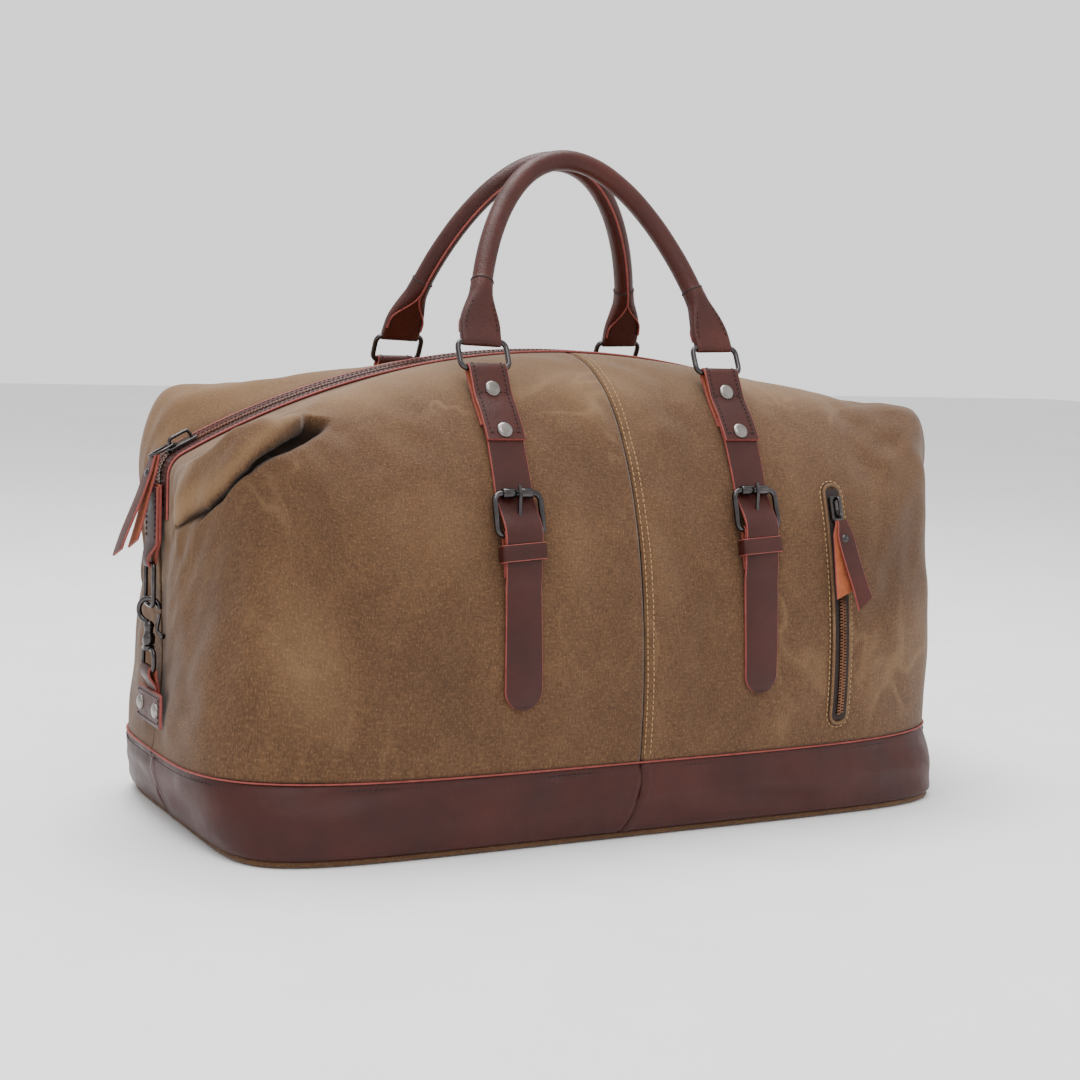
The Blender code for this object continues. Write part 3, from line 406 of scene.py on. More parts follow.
class Build:
    """Gathers vertices and faces with a material for each face, then makes one object of them."""

    def __init__(self):
        self.points, self.faces, self.kinds, self.count = [], [], [], 0

    def add(self, points, faces, kind=0):
        """kind is the material's number, one for all faces or one for each."""
        faces = [tuple(i + self.count for i in f) for f in faces]
        self.points.append(np.asarray(points, float).reshape(-1, 3))
        self.count += len(self.points[-1])
        self.faces += faces
        self.kinds += list(kind) if hasattr(kind, "__len__") else [kind] * len(faces)

    def grid(self, points, kind=0, close=False):
        """points is (rows, columns, 3); close joins the last column to the first."""
        rows, columns = points.shape[:2]
        span = columns if close else columns - 1
        faces = []
        for i in range(0, (rows - 1) * columns, columns):
            for j in range(span):
                k = (j + 1) % columns
                faces.append((i + j, i + k, i + columns + k, i + columns + j))
        kinds = list(kind[:span]) * (rows - 1) if hasattr(kind, "__len__") else kind
        self.add(points, faces, kinds)

    def fan(self, ring, kind=0):
        self.add(ring, [tuple(range(len(ring)))], kind)

    def sweep(self, places, across, up, section, kind=0, closed=False, scale=None):
        """Sweeps a closed section of (across, up) points through the places; scale widens it, row by row."""
        section = np.asarray(section, float)
        scale = np.ones((len(places), 2)) if scale is None else np.asarray(scale, float).reshape(len(places), -1)
        scale = np.broadcast_to(scale, (len(places), 2))
        rows = (
            places[:, None]
            + across[:, None] * (section[None, :, :1] * scale[:, None, :1])
            + up[:, None] * (section[None, :, 1:] * scale[:, None, 1:])
        )
        if closed:
            rows = np.concatenate([rows, rows[:1]])
        self.grid(rows, kind, close=True)
        if not closed:
            last = kind[0] if hasattr(kind, "__len__") else kind
            self.fan(rows[0][::-1], last)
            self.fan(rows[-1], last)
        return rows

    def done(self, name, kinds, body=ROOT, replaces=None, flat=False, turn=1.0):
        """Makes the object, rides it on the body and hides the solid that it stands for."""
        data = bpy.data.meshes.new(name)
        data.from_pydata((np.concatenate(self.points) * turn).tolist(), [], self.faces)
        kinds = [kinds] if isinstance(kinds, str) else list(kinds)
        for kind in kinds:
            data.materials.append(MATERIALS[kind])
        data.polygons.foreach_set("material_index", self.kinds)
        shape = bmesh.new()
        shape.from_mesh(data)
        bmesh.ops.remove_doubles(shape, verts=shape.verts, dist=1e-6)
        bmesh.ops.recalc_face_normals(shape, faces=shape.faces)
        shape.to_mesh(data)
        shape.free()
        if flat:
            data.shade_flat()
        else:
            data.shade_smooth()
            data.set_sharp_from_angle(angle=math.radians(50))
        return settle(link(name, data), body, replaces)


def link(name, data):
    thing = bpy.data.objects.new(name, data)
    bpy.context.scene.collection.objects.link(thing)
    return thing


def settle(piece, body, replaces=None):
    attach(piece, body)
    if replaces:
        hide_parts(replaces)
    return piece


# The front faces -Y. Its shapes turned half round the vertical axis make the back.
NO_TURN, HALF_TURN = np.ones(3), np.array([-1.0, -1.0, 1.0])


def run_of(line):
    """The distance of each point of the line from its start."""
    return np.concatenate([[0], np.cumsum(np.linalg.norm(np.diff(line, axis=0), axis=1))])


def alike(direction, line):
    """The same direction at every point of the line."""
    return np.broadcast_to(np.asarray(direction, float), line.shape)


def rounded_section(half_width, half_thick, radius, steps=3):
    """A rounded rectangle, and the kind of each side: 0 on the face, 1 on the edges, 2 on the back."""
    points, edges = [], []
    for corner in range(4):
        cx = (half_width - radius) * (1 if corner in (0, 3) else -1)
        cy = (half_thick - radius) * (1 if corner in (0, 1) else -1)
        for step in range(steps + 1):
            angle = math.pi / 2 * (corner + step / steps)
            points.append((cx + radius * math.cos(angle), cy + radius * math.sin(angle)))
            edges.append(corner if step == steps and corner in (0, 2) else 1)
    return points, edges


def circle(radius, sides=12):
    return [(radius * math.cos(a), radius * math.sin(a)) for a in np.linspace(0, 2 * math.pi, sides, endpoint=False)]


def resample(points, step, closed=False):
    """The same line with points about step apart."""
    points = np.asarray(points, float)
    if closed:
        points = np.concatenate([points, points[:1]])
    run = run_of(points)
    count = max(int(round(run[-1] / step)), 2)
    even = np.linspace(0, run[-1], count + 1)
    made = np.stack([np.interp(even, run, points[:, i]) for i in range(points.shape[1])], 1)
    return made[:-1] if closed else made


def rounded_line(points, step, passes=4, closed=False):
    """Resamples a line and rounds its corners."""
    line = resample(points, step, closed)
    for _ in range(passes):
        if closed:
            line = (np.roll(line, 1, 0) + 2 * line + np.roll(line, -1, 0)) / 4
        else:
            line[1:-1] = (line[:-2] + 2 * line[1:-1] + line[2:]) / 4
    return line


def tangents(line, closed=False):
    if closed:
        return unit(np.roll(line, -1, 0) - np.roll(line, 1, 0))
    return unit(np.gradient(line, axis=0))


def wire(build, points, radius, side, closed=False, step=0.0012, sides=12, passes=2):
    """A round wire along the points. side is a direction that the wire never runs along."""
    line = rounded_line(points, step, passes, closed)
    along = tangents(line, closed)
    up = unit(np.cross(along, alike(side, line)))
    across = np.cross(up, along)
    build.sweep(line, across, up, circle(radius, sides), closed=closed)


def stitches(build, line, normals, pitch=0.0032, length=0.0023, radius=0.00027, sink=0.3):
    """Short threads with rounded ends along the line."""
    line, normals = np.asarray(line, float), np.asarray(normals, float)
    run = run_of(line)
    count = int(run[-1] / pitch)
    if count < 1:
        return

    def at(places, values):
        return np.stack([np.interp(places, run, values[:, i]) for i in range(3)], 1)

    middles = (np.arange(count) + 0.5) * run[-1] / count
    spots, outs = at(middles, line), unit(at(middles, normals))
    along = unit(at(middles + length / 2, line) - at(middles - length / 2, line))
    side = unit(np.cross(outs, along))
    shares = np.array([-0.5, -0.38, -0.15, 0.15, 0.38, 0.5])[:, None, None]
    widths = np.array([0.35, 0.85, 1.0, 1.0, 0.85, 0.35])[:, None, None]
    drops = np.array([-1.1, -0.4, 0.0, 0.0, -0.4, -1.1])[:, None, None]
    around = np.linspace(0, 2 * math.pi, 6, endpoint=False)[:, None]
    rings = (
        spots[:, None, None]
        + along[:, None, None] * (shares * length)
        + outs[:, None, None] * ((drops + 1 - 2 * sink) * radius)
        + side[:, None, None] * (np.cos(around) * widths * radius)
        + outs[:, None, None] * (np.sin(around) * widths * radius)
    )
    for ring in rings:
        build.grid(ring, close=True)
        build.fan(ring[0][::-1])
        build.fan(ring[-1])


def lathe(build, profile, origin, outwards, sides=32):
    """A turned shape. The profile is (radius, height along outwards)."""
    z = unit(np.asarray(outwards, float))
    x = unit(np.cross((0.31, 0.52, 0.79), z))
    y = np.cross(z, x)
    angle = np.linspace(0, 2 * math.pi, sides, endpoint=False)
    rows = np.array(
        [np.asarray(origin) + z * h + (x * np.cos(angle)[:, None] + y * np.sin(angle)[:, None]) * r for r, h in profile]
    )
    build.grid(rows, close=True)
    for row in (rows[0], rows[-1]):
        build.fan(row)


def block(build, size, origin, x, y, bevel):
    """A box with rounded edges. x and y are its directions."""
    shape = bmesh.new()
    bmesh.ops.create_cube(shape, size=1)
    bmesh.ops.scale(shape, vec=size, verts=shape.verts)
    bmesh.ops.bevel(shape, geom=shape.edges[:], offset=bevel, segments=3, profile=0.5, affect="EDGES")
    x, y = unit(np.asarray(x, float)), unit(np.asarray(y, float))
    turn = np.stack([x, y, np.cross(x, y)], 0)
    points = np.array([v.co for v in shape.verts]) @ turn + np.asarray(origin)
    build.add(points, [tuple(v.index for v in f.verts) for f in shape.faces])
    shape.free()


# ---- canvas, with its folds


def ripple(u, v, seed, count, longest, shortest):
    """Smooth random undulation, about -1 to 1, made of waves across the cloth."""
    random = np.random.default_rng(seed)
    total = np.zeros(np.broadcast(u, v).shape)
    for _ in range(count):
        length = math.exp(random.uniform(math.log(shortest), math.log(longest)))
        angle, phase = random.uniform(0, math.pi), random.uniform(0, 2 * math.pi)
        wave = (math.cos(angle) * u * HALF_OUTLINE + math.sin(angle) * v * PANEL_HEIGHT) * 2 * math.pi / length
        total += np.sin(wave + phase) * length
    return total / (count**0.5 * longest * 0.5)


# The crease of the folded-in end, as shares along and up the panel, from its mouth to the zip's tip.
CREASE = np.array(
    [(0.222, 0.742), (0.206, 0.682), (0.186, 0.602), (0.166, 0.540), (0.150, 0.496), (0.132, 0.494),
     (0.114, 0.537), (0.096, 0.644), (0.068, 0.775), (0.040, 0.850)]
)


def near_crease(u, v):
    """Distance above the crease, in metres, and the share along it from the mouth. The share runs below 0 past it."""
    line = CREASE * (HALF_OUTLINE, PANEL_HEIGHT)
    spot = np.stack([u * HALF_OUTLINE, v * PANEL_HEIGHT], -1)
    lengths = run_of(line)
    best = np.full(u.shape, 1e9)
    above, share = np.zeros(u.shape), np.zeros(u.shape)
    for i in range(len(line) - 1):
        a, b = line[i], line[i + 1]
        d = b - a
        t = ((spot - a) @ d) / (d @ d)
        t = np.clip(t, -1.5 if i == 0 else 0, 1)
        gap = spot - (a + t[..., None] * d)
        distance = np.linalg.norm(gap, axis=-1)
        side = np.sign(d[1] * gap[..., 0] - d[0] * gap[..., 1])
        near = distance < best
        best = np.where(near, distance, best)
        above = np.where(near, distance * side, above)
        share = np.where(near, (lengths[i] + t * np.linalg.norm(d)) / lengths[-1], share)
    return above, share


def keep_flat(points, u, v):
    """0 under the hardware and at the seams, 1 where the cloth is free."""
    x = points[..., 0]
    free = smooth((np.abs(np.abs(x) - STRAP_X) - 0.016) / 0.03) + smooth((0.075 - points[..., 2]) / 0.01)
    free = np.clip(free, 0, 1)
    pocket = smooth((np.abs(x - POCKET_X) - 0.012) / 0.03)
    ends = smooth(v / 0.10) * smooth((1 - v) / 0.12)
    seams = smooth(np.abs(u - 0.5) / 0.02) * smooth((np.minimum(u, 1 - u) - 0.012) / 0.03)
    return free * pocket * ends * (0.25 + 0.75 * seams)


def slump(points, u, v, pull, ear, lift, level):
    """The corner of a panel as it sags: pulled in below its ear by pull, the ear pushed out by ear and its
    top raised by lift. level from 0 to 1 flattens the cloth beside the zip, so that the facing shows."""
    end = np.minimum(u, 1 - u)
    side = np.where(u < 0.5, -1.0, 1.0)
    corner = smooth((end - 0.035) / 0.07) * smooth((0.24 - end) / 0.09)
    below = smooth((v - 0.02) / 0.42) * smooth((0.76 - v) / 0.18)
    high = smooth((v - 0.52) / 0.14) * smooth((0.90 - v) / 0.16)
    top = smooth((end - 0.09) / 0.07) * smooth((0.35 - end) / 0.12) * smooth((v - 0.55) / 0.22) * smooth((1 - v) / 0.11)
    moved = points.copy()
    moved[..., 0] += side * corner * (ear * high - pull * below)
    moved[..., 2] += lift * top
    edge = top_edge(u)
    cap = edge[..., 2] + 0.03 * (edge[..., 1] - moved[..., 1]) - 0.0005
    over = np.maximum(moved[..., 2] - cap, 0)
    near_zip = level * smooth((end - 0.03) / 0.05) * smooth((0.372 - end) / 0.09) * smooth((v - 0.60) / 0.15)
    moved[..., 2] -= over * near_zip
    return moved


def cloth(u, v, seed, fold, sag=(0.0, 0.0, 0.0, 0.0)):
    """The canvas with wrinkles and, at its left end, a fold of strength 0 to 1. Also a tone from 0 to 1, partly wear
    and partly painted shade and highlight: darker in the fold's pocket and in the wrinkles' dips, paler on their crests
    and towards the top.
    """
    base = slump(shell(u, v), u, v, *sag)
    step = 0.003
    low, high = np.maximum(u - step, 0), np.minimum(u + step, 1)
    along = slump(shell(high, v), high, v, *sag) - slump(shell(low, v), low, v, *sag)
    low, high = np.maximum(v - step, 0), np.minimum(v + step, 1)
    up = slump(shell(u, high), u, high, *sag) - slump(shell(u, low), u, low, *sag)
    outwards = unit(np.cross(along, up))
    free = keep_flat(base, u, v)
    broad = ripple(u, v, seed, 14, 0.16, 0.06)
    small = ripple(u, v, seed + 1, 20, 0.045, 0.02)
    height = free * (0.0007 * broad + 0.00035 * small)
    end = np.minimum(u, 1 - u)
    slack = smooth((0.30 - end) / 0.15) * smooth((0.8 - v) / 0.3) * smooth(v / 0.1)
    height += 0.0006 * slack * ripple(u, v * 0.5, seed + 2, 8, 0.11, 0.05) * free
    # Painted light and shade: paler where the broad wrinkles bulge out, darker in their dips. The next line makes the
    # cloth paler towards the top of the panel.
    wear_and_shading = 0.5 + 0.05 * broad * free
    wear_and_shading += 0.16 * smooth((v - 0.66) / 0.14) * smooth((1 - v) / 0.04)
    above, share = near_crease(np.where(u < 0.5, u, 1 - u), v)
    mouth = smooth((share + 0.035) / 0.06)
    tail = smooth((1.0 - share) / 0.3)
    amount = fold * mouth * tail
    # The pocket below the roll is wide and deep at its mouth and narrows to a crease.
    width = 0.0020 + 0.0062 * smooth((0.62 - share) / 0.55)
    valley = np.exp(-np.abs((above + width * 0.85) / width) ** 3)
    roll = np.exp(-(((above - 0.010) / 0.009) ** 2))
    lip = smooth((above + 0.0020) / 0.0030) * np.exp(-(np.maximum(above, 0) / 0.0100) ** 2)
    depth = 0.0045 + 0.0125 * smooth((0.70 - share) / 0.6)
    height += amount * (0.0026 * roll - depth * valley)
    crease_up = unit(up)
    droop = -crease_up * (amount * (0.0025 + 0.0050 * smooth((0.6 - share) / 0.5)) * lip)[..., None]
    # Painted shade darkens the pocket under the roll. The roll's crest is made paler, partly as rubbed wear and partly
    # as a painted highlight.
    wear_and_shading += amount * (0.22 * np.exp(-(((above - 0.006) / 0.005) ** 2)) - 0.9 * valley * smooth((0.9 - share) / 0.5))
    return base + outwards * height[..., None] + droop, np.clip(wear_and_shading, 0, 1), outwards


SEAM, SEAM_DEPTH, SEAM_WIDTH = 0.0006, 0.0011, 0.0016
CANVAS_THICKNESS = 0.0014


def canvas_panel(name, first, last, seed, fold, turn, sag):
    columns, rows = 250, 190
    u = np.linspace(first, last, columns)[:, None] * np.ones(rows)
    v = np.ones((columns, 1)) * np.linspace(0.002, 1, rows)
    points, wear_and_shading, outwards = cloth(u, v, seed, fold, sag)
    # The cloth turns in at the middle seam, which makes it a groove.
    groove = SEAM_DEPTH * np.exp(-(np.abs(u - 0.5) * HALF_OUTLINE / SEAM_WIDTH) ** 2)
    points = points - outwards * groove[..., None]
    build = Build()
    build.grid(points)
    data = bpy.data.meshes.new(name)
    data.from_pydata((np.concatenate(build.points) * turn).tolist(), [], [face[::-1] for face in build.faces])
    data.materials.append(MATERIALS["canvas"])
    layer = data.uv_layers.new(name="UVMap")
    flat = np.stack([u * HALF_OUTLINE + seed, v * PANEL_HEIGHT], -1).reshape(-1, 2)
    index = np.empty(len(data.loops), np.int32)
    data.loops.foreach_get("vertex_index", index)
    layer.data.foreach_set("uv", flat[index].ravel())
    # The tone that paints shade and highlight on the cloth, and carries its wear, goes into a point attribute.
    wear_and_shading_layer = data.attributes.new("wear_and_shading", "FLOAT", "POINT")
    wear_and_shading_layer.data.foreach_set("value", wear_and_shading.ravel().astype(np.float32))
    data.shade_smooth()
    piece = link(name, data)
    thickness = piece.modifiers.new("thickness", "SOLIDIFY")
    thickness.thickness, thickness.offset = CANVAS_THICKNESS, -1
    return settle(piece, ROOT, name.replace("cloth_", "") + "_canvas")


FRONT_SEED, BACK_SEED = 23, 41


def canvas():
    left, right = (SEAM, 0.5 - SEAM / 2), (0.5 + SEAM / 2, 1 - SEAM)
    canvas_panel("cloth_front_left", *left, 11, 1.0, NO_TURN, (0.004, 0.0, 0.0, 1.0))
    canvas_panel("cloth_front_right", *right, FRONT_SEED, 0.0, NO_TURN, (0.006, 0.007, 0.008, 0.0))
    canvas_panel("cloth_back_right", *left, 37, 0.6, HALF_TURN, (0.004, 0.0, 0.0, 1.0))
    canvas_panel("cloth_back_left", *right, BACK_SEED, 0.0, HALF_TURN, (0.013, 0.0, 0.008, 0.0))


def canvas_stitching():
    """The double row beside the front's centre seam, and the same at the back."""
    build = Build()
    rows = np.linspace(0.012, 0.975, 260)
    for shift in (0.0020, 0.0064):
        u = np.full(rows.shape, 0.5 + shift / HALF_OUTLINE)
        for turn, seed in ((NO_TURN, FRONT_SEED), (HALF_TURN, BACK_SEED)):
            points, _, outwards = cloth(u, rows, seed, 0.0)
            stitches(build, points * turn, outwards * turn, 0.0034, 0.0024, 0.00032, sink=0.2)
    build.done("centre_seam_stitches", "tan_thread")


# ---- leather base


def base_wall(u, v):
    low, _ = on_outline(BOTTOM, u)
    high, outwards = on_outline(PIPING, u)
    belly = (4 * BASE_BULGE * v * (1 - v))[..., None]
    place = low + (high - low) * v[..., None] + outwards * belly
    return np.concatenate([place, (BASE_BOTTOM + v * (BASE_TOP - 0.0006 - BASE_BOTTOM))[..., None]], -1), outwards


def base_seam(v):
    return 0.5 - SEAM_SWEEP * (1 - v) ** 2 / (2 * HALF_LENGTH + HALF_WIDTH)


def base_panels():
    """Four panels of leather with turned-in seams, soft dents and a rounded lower edge."""
    columns, rows = 220, 44
    panels = (("front_left", 0, 1, NO_TURN), ("front_right", 1, 3, NO_TURN),
              ("back_right", 0, 5, HALF_TURN), ("back_left", 1, 7, HALF_TURN))
    for name, right, seed, turn in panels:
        v = np.ones((columns, 1)) * np.linspace(0, 1, rows)
        share = np.linspace(0, 1, columns)[:, None]
        middle = base_seam(v)
        u = (middle + SEAM / 2 + share * (1 - SEAM - middle)) if right else (SEAM + share * (middle - SEAM * 1.5))
        points, outwards = base_wall(u, v)
        outwards = np.concatenate([outwards, np.zeros(u.shape + (1,))], -1)
        soft = ripple(u, v * 0.5, 60 + seed, 10, 0.12, 0.04) * smooth(v / 0.2) * smooth((1 - v) / 0.15)
        near = np.minimum(np.abs(u - middle), np.minimum(u, 1 - u)) * HALF_OUTLINE
        groove = 0.0012 * np.exp(-((near / 0.0014) ** 2)) - 0.0007 * np.exp(-(((near - 0.004) / 0.0022) ** 2))
        tuck = 0.0022 * np.exp(-((v / 0.035) ** 2))
        points = points + outwards * (0.0007 * soft - groove - tuck)[..., None]
        build = Build()
        build.grid(points)
        top_in = points[:, -1] - outwards[:, -1] * 0.0024
        build.grid(np.stack([points[:, -1], top_in], 1))
        low_in = points[:, 0] - outwards[:, 0] * 0.0024
        build.grid(np.stack([low_in, points[:, 0]], 1))
        build.done(f"base_{name}_leather", "leather", ROOT, f"base_{name}", turn=turn)


def piping_line(outline, height, out, count=700):
    """The closed line round the bag at that height, and its outward directions."""
    u = np.linspace(0, 1, count, endpoint=False)
    place, outwards = on_outline(outline, u)
    place = place + outwards * out
    half = np.concatenate([place, np.full((count, 1), height)], 1)
    normals = np.concatenate([outwards, np.zeros((count, 1))], 1)
    return np.concatenate([half, half * HALF_TURN]), np.concatenate([normals, normals * HALF_TURN])


def base_trim():
    """The folded, painted top edge of the leather and its stitching."""
    line, outwards = piping_line(PIPING, BASE_TOP + 0.0002, 0.0004)
    up = alike((0.0, 0.0, 1.0), line)
    build = Build()
    build.sweep(line, outwards, up, [(a * 1.2, b * 0.7) for a, b in circle(0.0008, 10)], 0, closed=True)
    build.done("base_edge", "edge")
    line, outwards = piping_line(PIPING, BASE_TOP - 0.0036, 0.0009)
    build = Build()
    stitches(build, line, outwards, 0.0034, 0.0026, 0.0003)
    build.done("base_stitches", "dark_thread")


def bottom_panel():
    """The canvas bottom, whose rim shows below the leather."""
    u = np.linspace(0, 1, 240, endpoint=False)
    place, outwards = on_outline(BOTTOM, u)
    rings = [(place * 0.02, 0.0)]
    rim = ((0.012, 0.0), (0.0034, 0.0), (0.0022, 0.0007), (0.0019, 0.0018), (0.0024, 0.0032), (0.01, 0.0034))
    rings += [(place - outwards * inset, height) for inset, height in rim]
    rows = []
    for ring, height in rings:
        half = np.concatenate([ring, np.full((len(u), 1), height)], 1)
        rows.append(np.concatenate([half, half * HALF_TURN]))
    build = Build()
    build.grid(np.array(rows), close=True)
    build.fan(rows[0])
    dress_cloth(build.done("bottom_canvas", "canvas", ROOT, "bottom_panel"), 0.45, level=1)


def dress_cloth(piece, wear_and_shading, level=0):
    """Gives a canvas piece its cloth coordinates and one even value of the tone that carries painted shade and wear,
    darker below 0.5 and paler above. level is 1 for a piece that lies flat.
    """
    data = piece.data
    layer = data.uv_layers.new(name="UVMap")
    for loop in data.loops:
        spot = data.vertices[loop.vertex_index].co
        layer.data[loop.index].uv = (spot.x, spot.y * level + spot.z)
    wear_and_shading_layer = data.attributes.new("wear_and_shading", "FLOAT", "POINT")
    wear_and_shading_layer.data.foreach_set("value", np.full(len(data.vertices), wear_and_shading, np.float32))


def slack_lining():
    """The lining hangs loose inside the sagged canvas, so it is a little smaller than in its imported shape."""
    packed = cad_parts["lining"]
    points = np.array([packed.matrix_world @ corner.co for corner in packed.data.vertices])
    low = np.array([0.0, 0.0, points[:, 2].min()])
    build = Build()
    build.add((points - low) * LINING_SLACK + low, [tuple(face.vertices) for face in packed.data.polygons])
    build.done("lining_cloth", "lining", ROOT, "lining")


# ---- the zip on top


def zip_line(tip=ZIP_HALF - 0.0016, step=0.003):
    """The zip's middle line, the direction across it and its upward normals."""
    s = np.linspace(-tip, tip, int(2 * tip / step))
    x, z = zip_point(s)
    ahead = np.stack(zip_point(s + 0.0005), -1) - np.stack(zip_point(s - 0.0005), -1)
    ahead = unit(np.stack([ahead[:, 0], np.zeros(len(s)), ahead[:, 1]], -1))
    line = np.stack([x, np.zeros(len(s)), z], -1)
    up = np.stack([-ahead[:, 2], np.zeros(len(s)), ahead[:, 0]], -1)
    return line, alike((0, 1, 0), line), up


TEETH_PITCH = 0.0021


def top_zip():
    line, across, up = zip_line()
    lapped, lap_across, lap_up = zip_line(ZIP_HALF + FACING_LAP)
    middle = -(FACING_INNER + FACING_OUTER) / 2
    half = (FACING_OUTER - FACING_INNER) / 2
    flat, edges = rounded_section(half, 0.0009, 0.0007)
    section = [(a + middle, b + 0.0003 - 0.035 * (a + half) * 0.5) for a, b in flat]
    for side, turn in (("front", NO_TURN), ("back", HALF_TURN)):
        build = Build()
        build.sweep(lapped, lap_across, lap_up, section, edges)
        build.done(f"facing_{side}", ("soft_leather", "edge", "flesh"), ROOT, f"zip_facing_{side}", turn=turn)
        rim = Build()
        rim.sweep(lapped + lap_across * -FACING_OUTER + lap_up * 0.0007, lap_across, lap_up, circle(0.0008, 8))
        rim.done(f"facing_rim_{side}", "edge", turn=turn)
        thread = Build()
        for offset in (FACING_OUTER - 0.0028, FACING_INNER + 0.0024):
            stitches(thread, line + across * -offset + up * 0.0012, up, 0.0032, 0.0024, 0.00026)
        thread.done(f"facing_stitches_{side}", "dark_thread", turn=turn)
    tape = Build()
    section, _ = rounded_section(0.0046, 0.0004, 0.0003)
    tape.sweep(line, across, up, [(a, b - 0.0009) for a, b in section])
    tape.done("zip_tape", "tape", ROOT, "main_zipper")
    teeth = Build()
    rows = np.arange(-ZIP_HALF + 0.004, ZIP_HALF - 0.004, TEETH_PITCH / 2)
    for k, place in enumerate(rows):
        x, z = zip_point(place)
        x2, z2 = zip_point(place + 0.0004)
        direction = unit(np.array([x2 - x, 0, z2 - z]))
        out = np.array([-direction[2], 0, direction[0]])
        side = 1 if k % 2 else -1
        origin = np.array([x, side * 0.00105, z]) + out * 0.0005
        tooth(teeth, origin, direction, (0, side, 0), out, 0.0013, 0.0032, 0.0016)
    teeth.done("zip_teeth", "teeth", flat=True)


def tooth(build, origin, along, across, out, length, width, height):
    """A tooth with a sloping crown."""
    along, across, out = (np.asarray(a, float) for a in (along, across, out))
    points = [
        origin + along * (length / 2 * i) + across * (width / 2 * j) + out * (height / 2 * k * (1 if j > 0 else 0.7))
        for k in (-1, 1) for j in (-1, 1) for i in (-1, 1)
    ]
    faces = [(0, 1, 3, 2), (4, 6, 7, 5), (0, 4, 5, 1), (2, 3, 7, 6), (0, 2, 6, 4), (1, 5, 7, 3)]
    build.add(points, faces)


def slider(name, body, node, origin, along, out, half, length, bail):
    """A cast slider: a waisted plate with side lips, a bridge and a bail for the pull."""
    along, out = unit(np.asarray(along, float)), unit(np.asarray(out, float))
    side = np.cross(out, along)
    build = Build()
    parts = [((half * 2, length, 0.0013), origin), ((half * 1.5, length * 0.5, 0.0013), origin - along * length * 0.32)]
    lip = (0.0012, length * 0.9, 0.0026)
    parts += [(lip, origin + side * sign * (half - 0.0006) - out * 0.0010) for sign in (-1, 1)]
    for size, place in parts:
        block(build, size, place, side, along, 0.0005)
    arch = [origin + along * (length * 0.40), origin + along * (length * 0.36) + out * bail,
            origin - along * (length * 0.30) + out * bail, origin - along * (length * 0.40)]
    wire(build, arch, 0.0011, side, step=0.0008, passes=3)
    build.done(name, "gunmetal", body, node)


SLIDER_S = -ZIP_RADIUS * math.radians(28.0)
PULL_LEAN = math.radians(17)
PULL_LENGTH = 0.062


def main_slider():
    x, z = zip_point(SLIDER_S)
    angle = SLIDER_S / ZIP_RADIUS
    out = np.array([math.sin(angle), 0, math.cos(angle)])
    along = np.array([math.cos(angle), 0, -math.sin(angle)])
    origin = np.array([x, 0, z]) + out * 0.0030
    slider("slider_main", "main_slider", "main_slider", origin, along, out, 0.0056, 0.019, 0.0052)
    px, pz = zip_point(SLIDER_S - 0.0135, 0.0068)
    place = np.array([float(px), 0, float(pz)])
    ring = [place + along * 0.0085 * math.cos(a) + np.array([0, 0.0042, 0]) * math.sin(a) + out * 0.0006
            for a in np.linspace(0, 2 * math.pi, 24, endpoint=False)]
    loop = Build()
    wire(loop, np.array(ring) + along * 0.004, 0.0008, out, closed=True, step=0.0008)
    loop.done("pull_loop_main", "gunmetal", "main_slider")
    down = np.array([-math.sin(PULL_LEAN), 0, -math.cos(PULL_LEAN)])
    soft_pieces = folded_pull("pull_main", "main_pull", "main_pull", place, down, np.array([0, 1.0, 0]), PULL_LENGTH,
                              (0.0030, 0.0015, 0.001, -0.001))
    for piece in soft_pieces:
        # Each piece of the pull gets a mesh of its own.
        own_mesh(piece)


def folded_pull(name, body, node, top, down, across, length, splay, half=0.0062):
    """A strip folded through the slider's loop. Its two tails are cut on a slant, with the flesh sides inwards.

    The first tail is the outer one. splay is how far each tail opens and how far each leans along across."""
    down, across = unit(down), unit(across)
    out = np.cross(across, down)
    build = Build()
    section, kinds = rounded_section(half, 0.0007, 0.0004)
    section = np.array(section)
    for sign in (1, -1):
        t = np.linspace(0, 1, 30)
        reach = length * (1.0 if sign > 0 else 0.88)
        open_by = splay[0] if sign > 0 else splay[1]
        bow = 0.0011 + 0.0005 * np.sin(t * math.pi) + open_by * smooth((t - 0.3) / 0.7)
        line = top + down * (t * reach)[:, None] + out * (sign * bow)[:, None]
        line += across * (splay[2 if sign > 0 else 3] * t ** 1.4)[:, None]
        along = tangents(line)
        flat = unit(across - along * (along @ across)[:, None])
        face = unit(np.cross(flat, along)) * sign
        width = half * (0.60 + 0.40 * smooth(t / 0.22))
        inner = section[None] * np.array([1.0, sign])
        wide = np.sign(inner[..., 0]) * np.maximum(np.abs(inner[..., 0]) - half + width[:, None], 0.0004)
        slant = 0.5 * wide * smooth((t - 0.80) / 0.2)[:, None]
        rows = line[:, None] + flat[:, None] * wide[..., None] + face[:, None] * (inner[..., 1:] * sign)
        rows = rows + down * slant[..., None]
        build.grid(rows, kinds, close=True)
        build.fan(rows[0][::-1], 1)
        build.fan(rows[-1], 1)
    piece = build.done(name, ("soft_leather", "edge", "flesh"), body, node)
    rivets = Build()
    for sign in (-1, 1):
        origin = top + down * 0.012 + out * sign * 0.0019
        lathe(rivets, [(0.0001, 0.0012), (0.0018, 0.0010), (0.0027, 0.0004), (0.0028, 0)], origin, out * sign, sides=20)
    return piece, rivets.done(name + "_rivets", "gunmetal", body)


# ---- straps


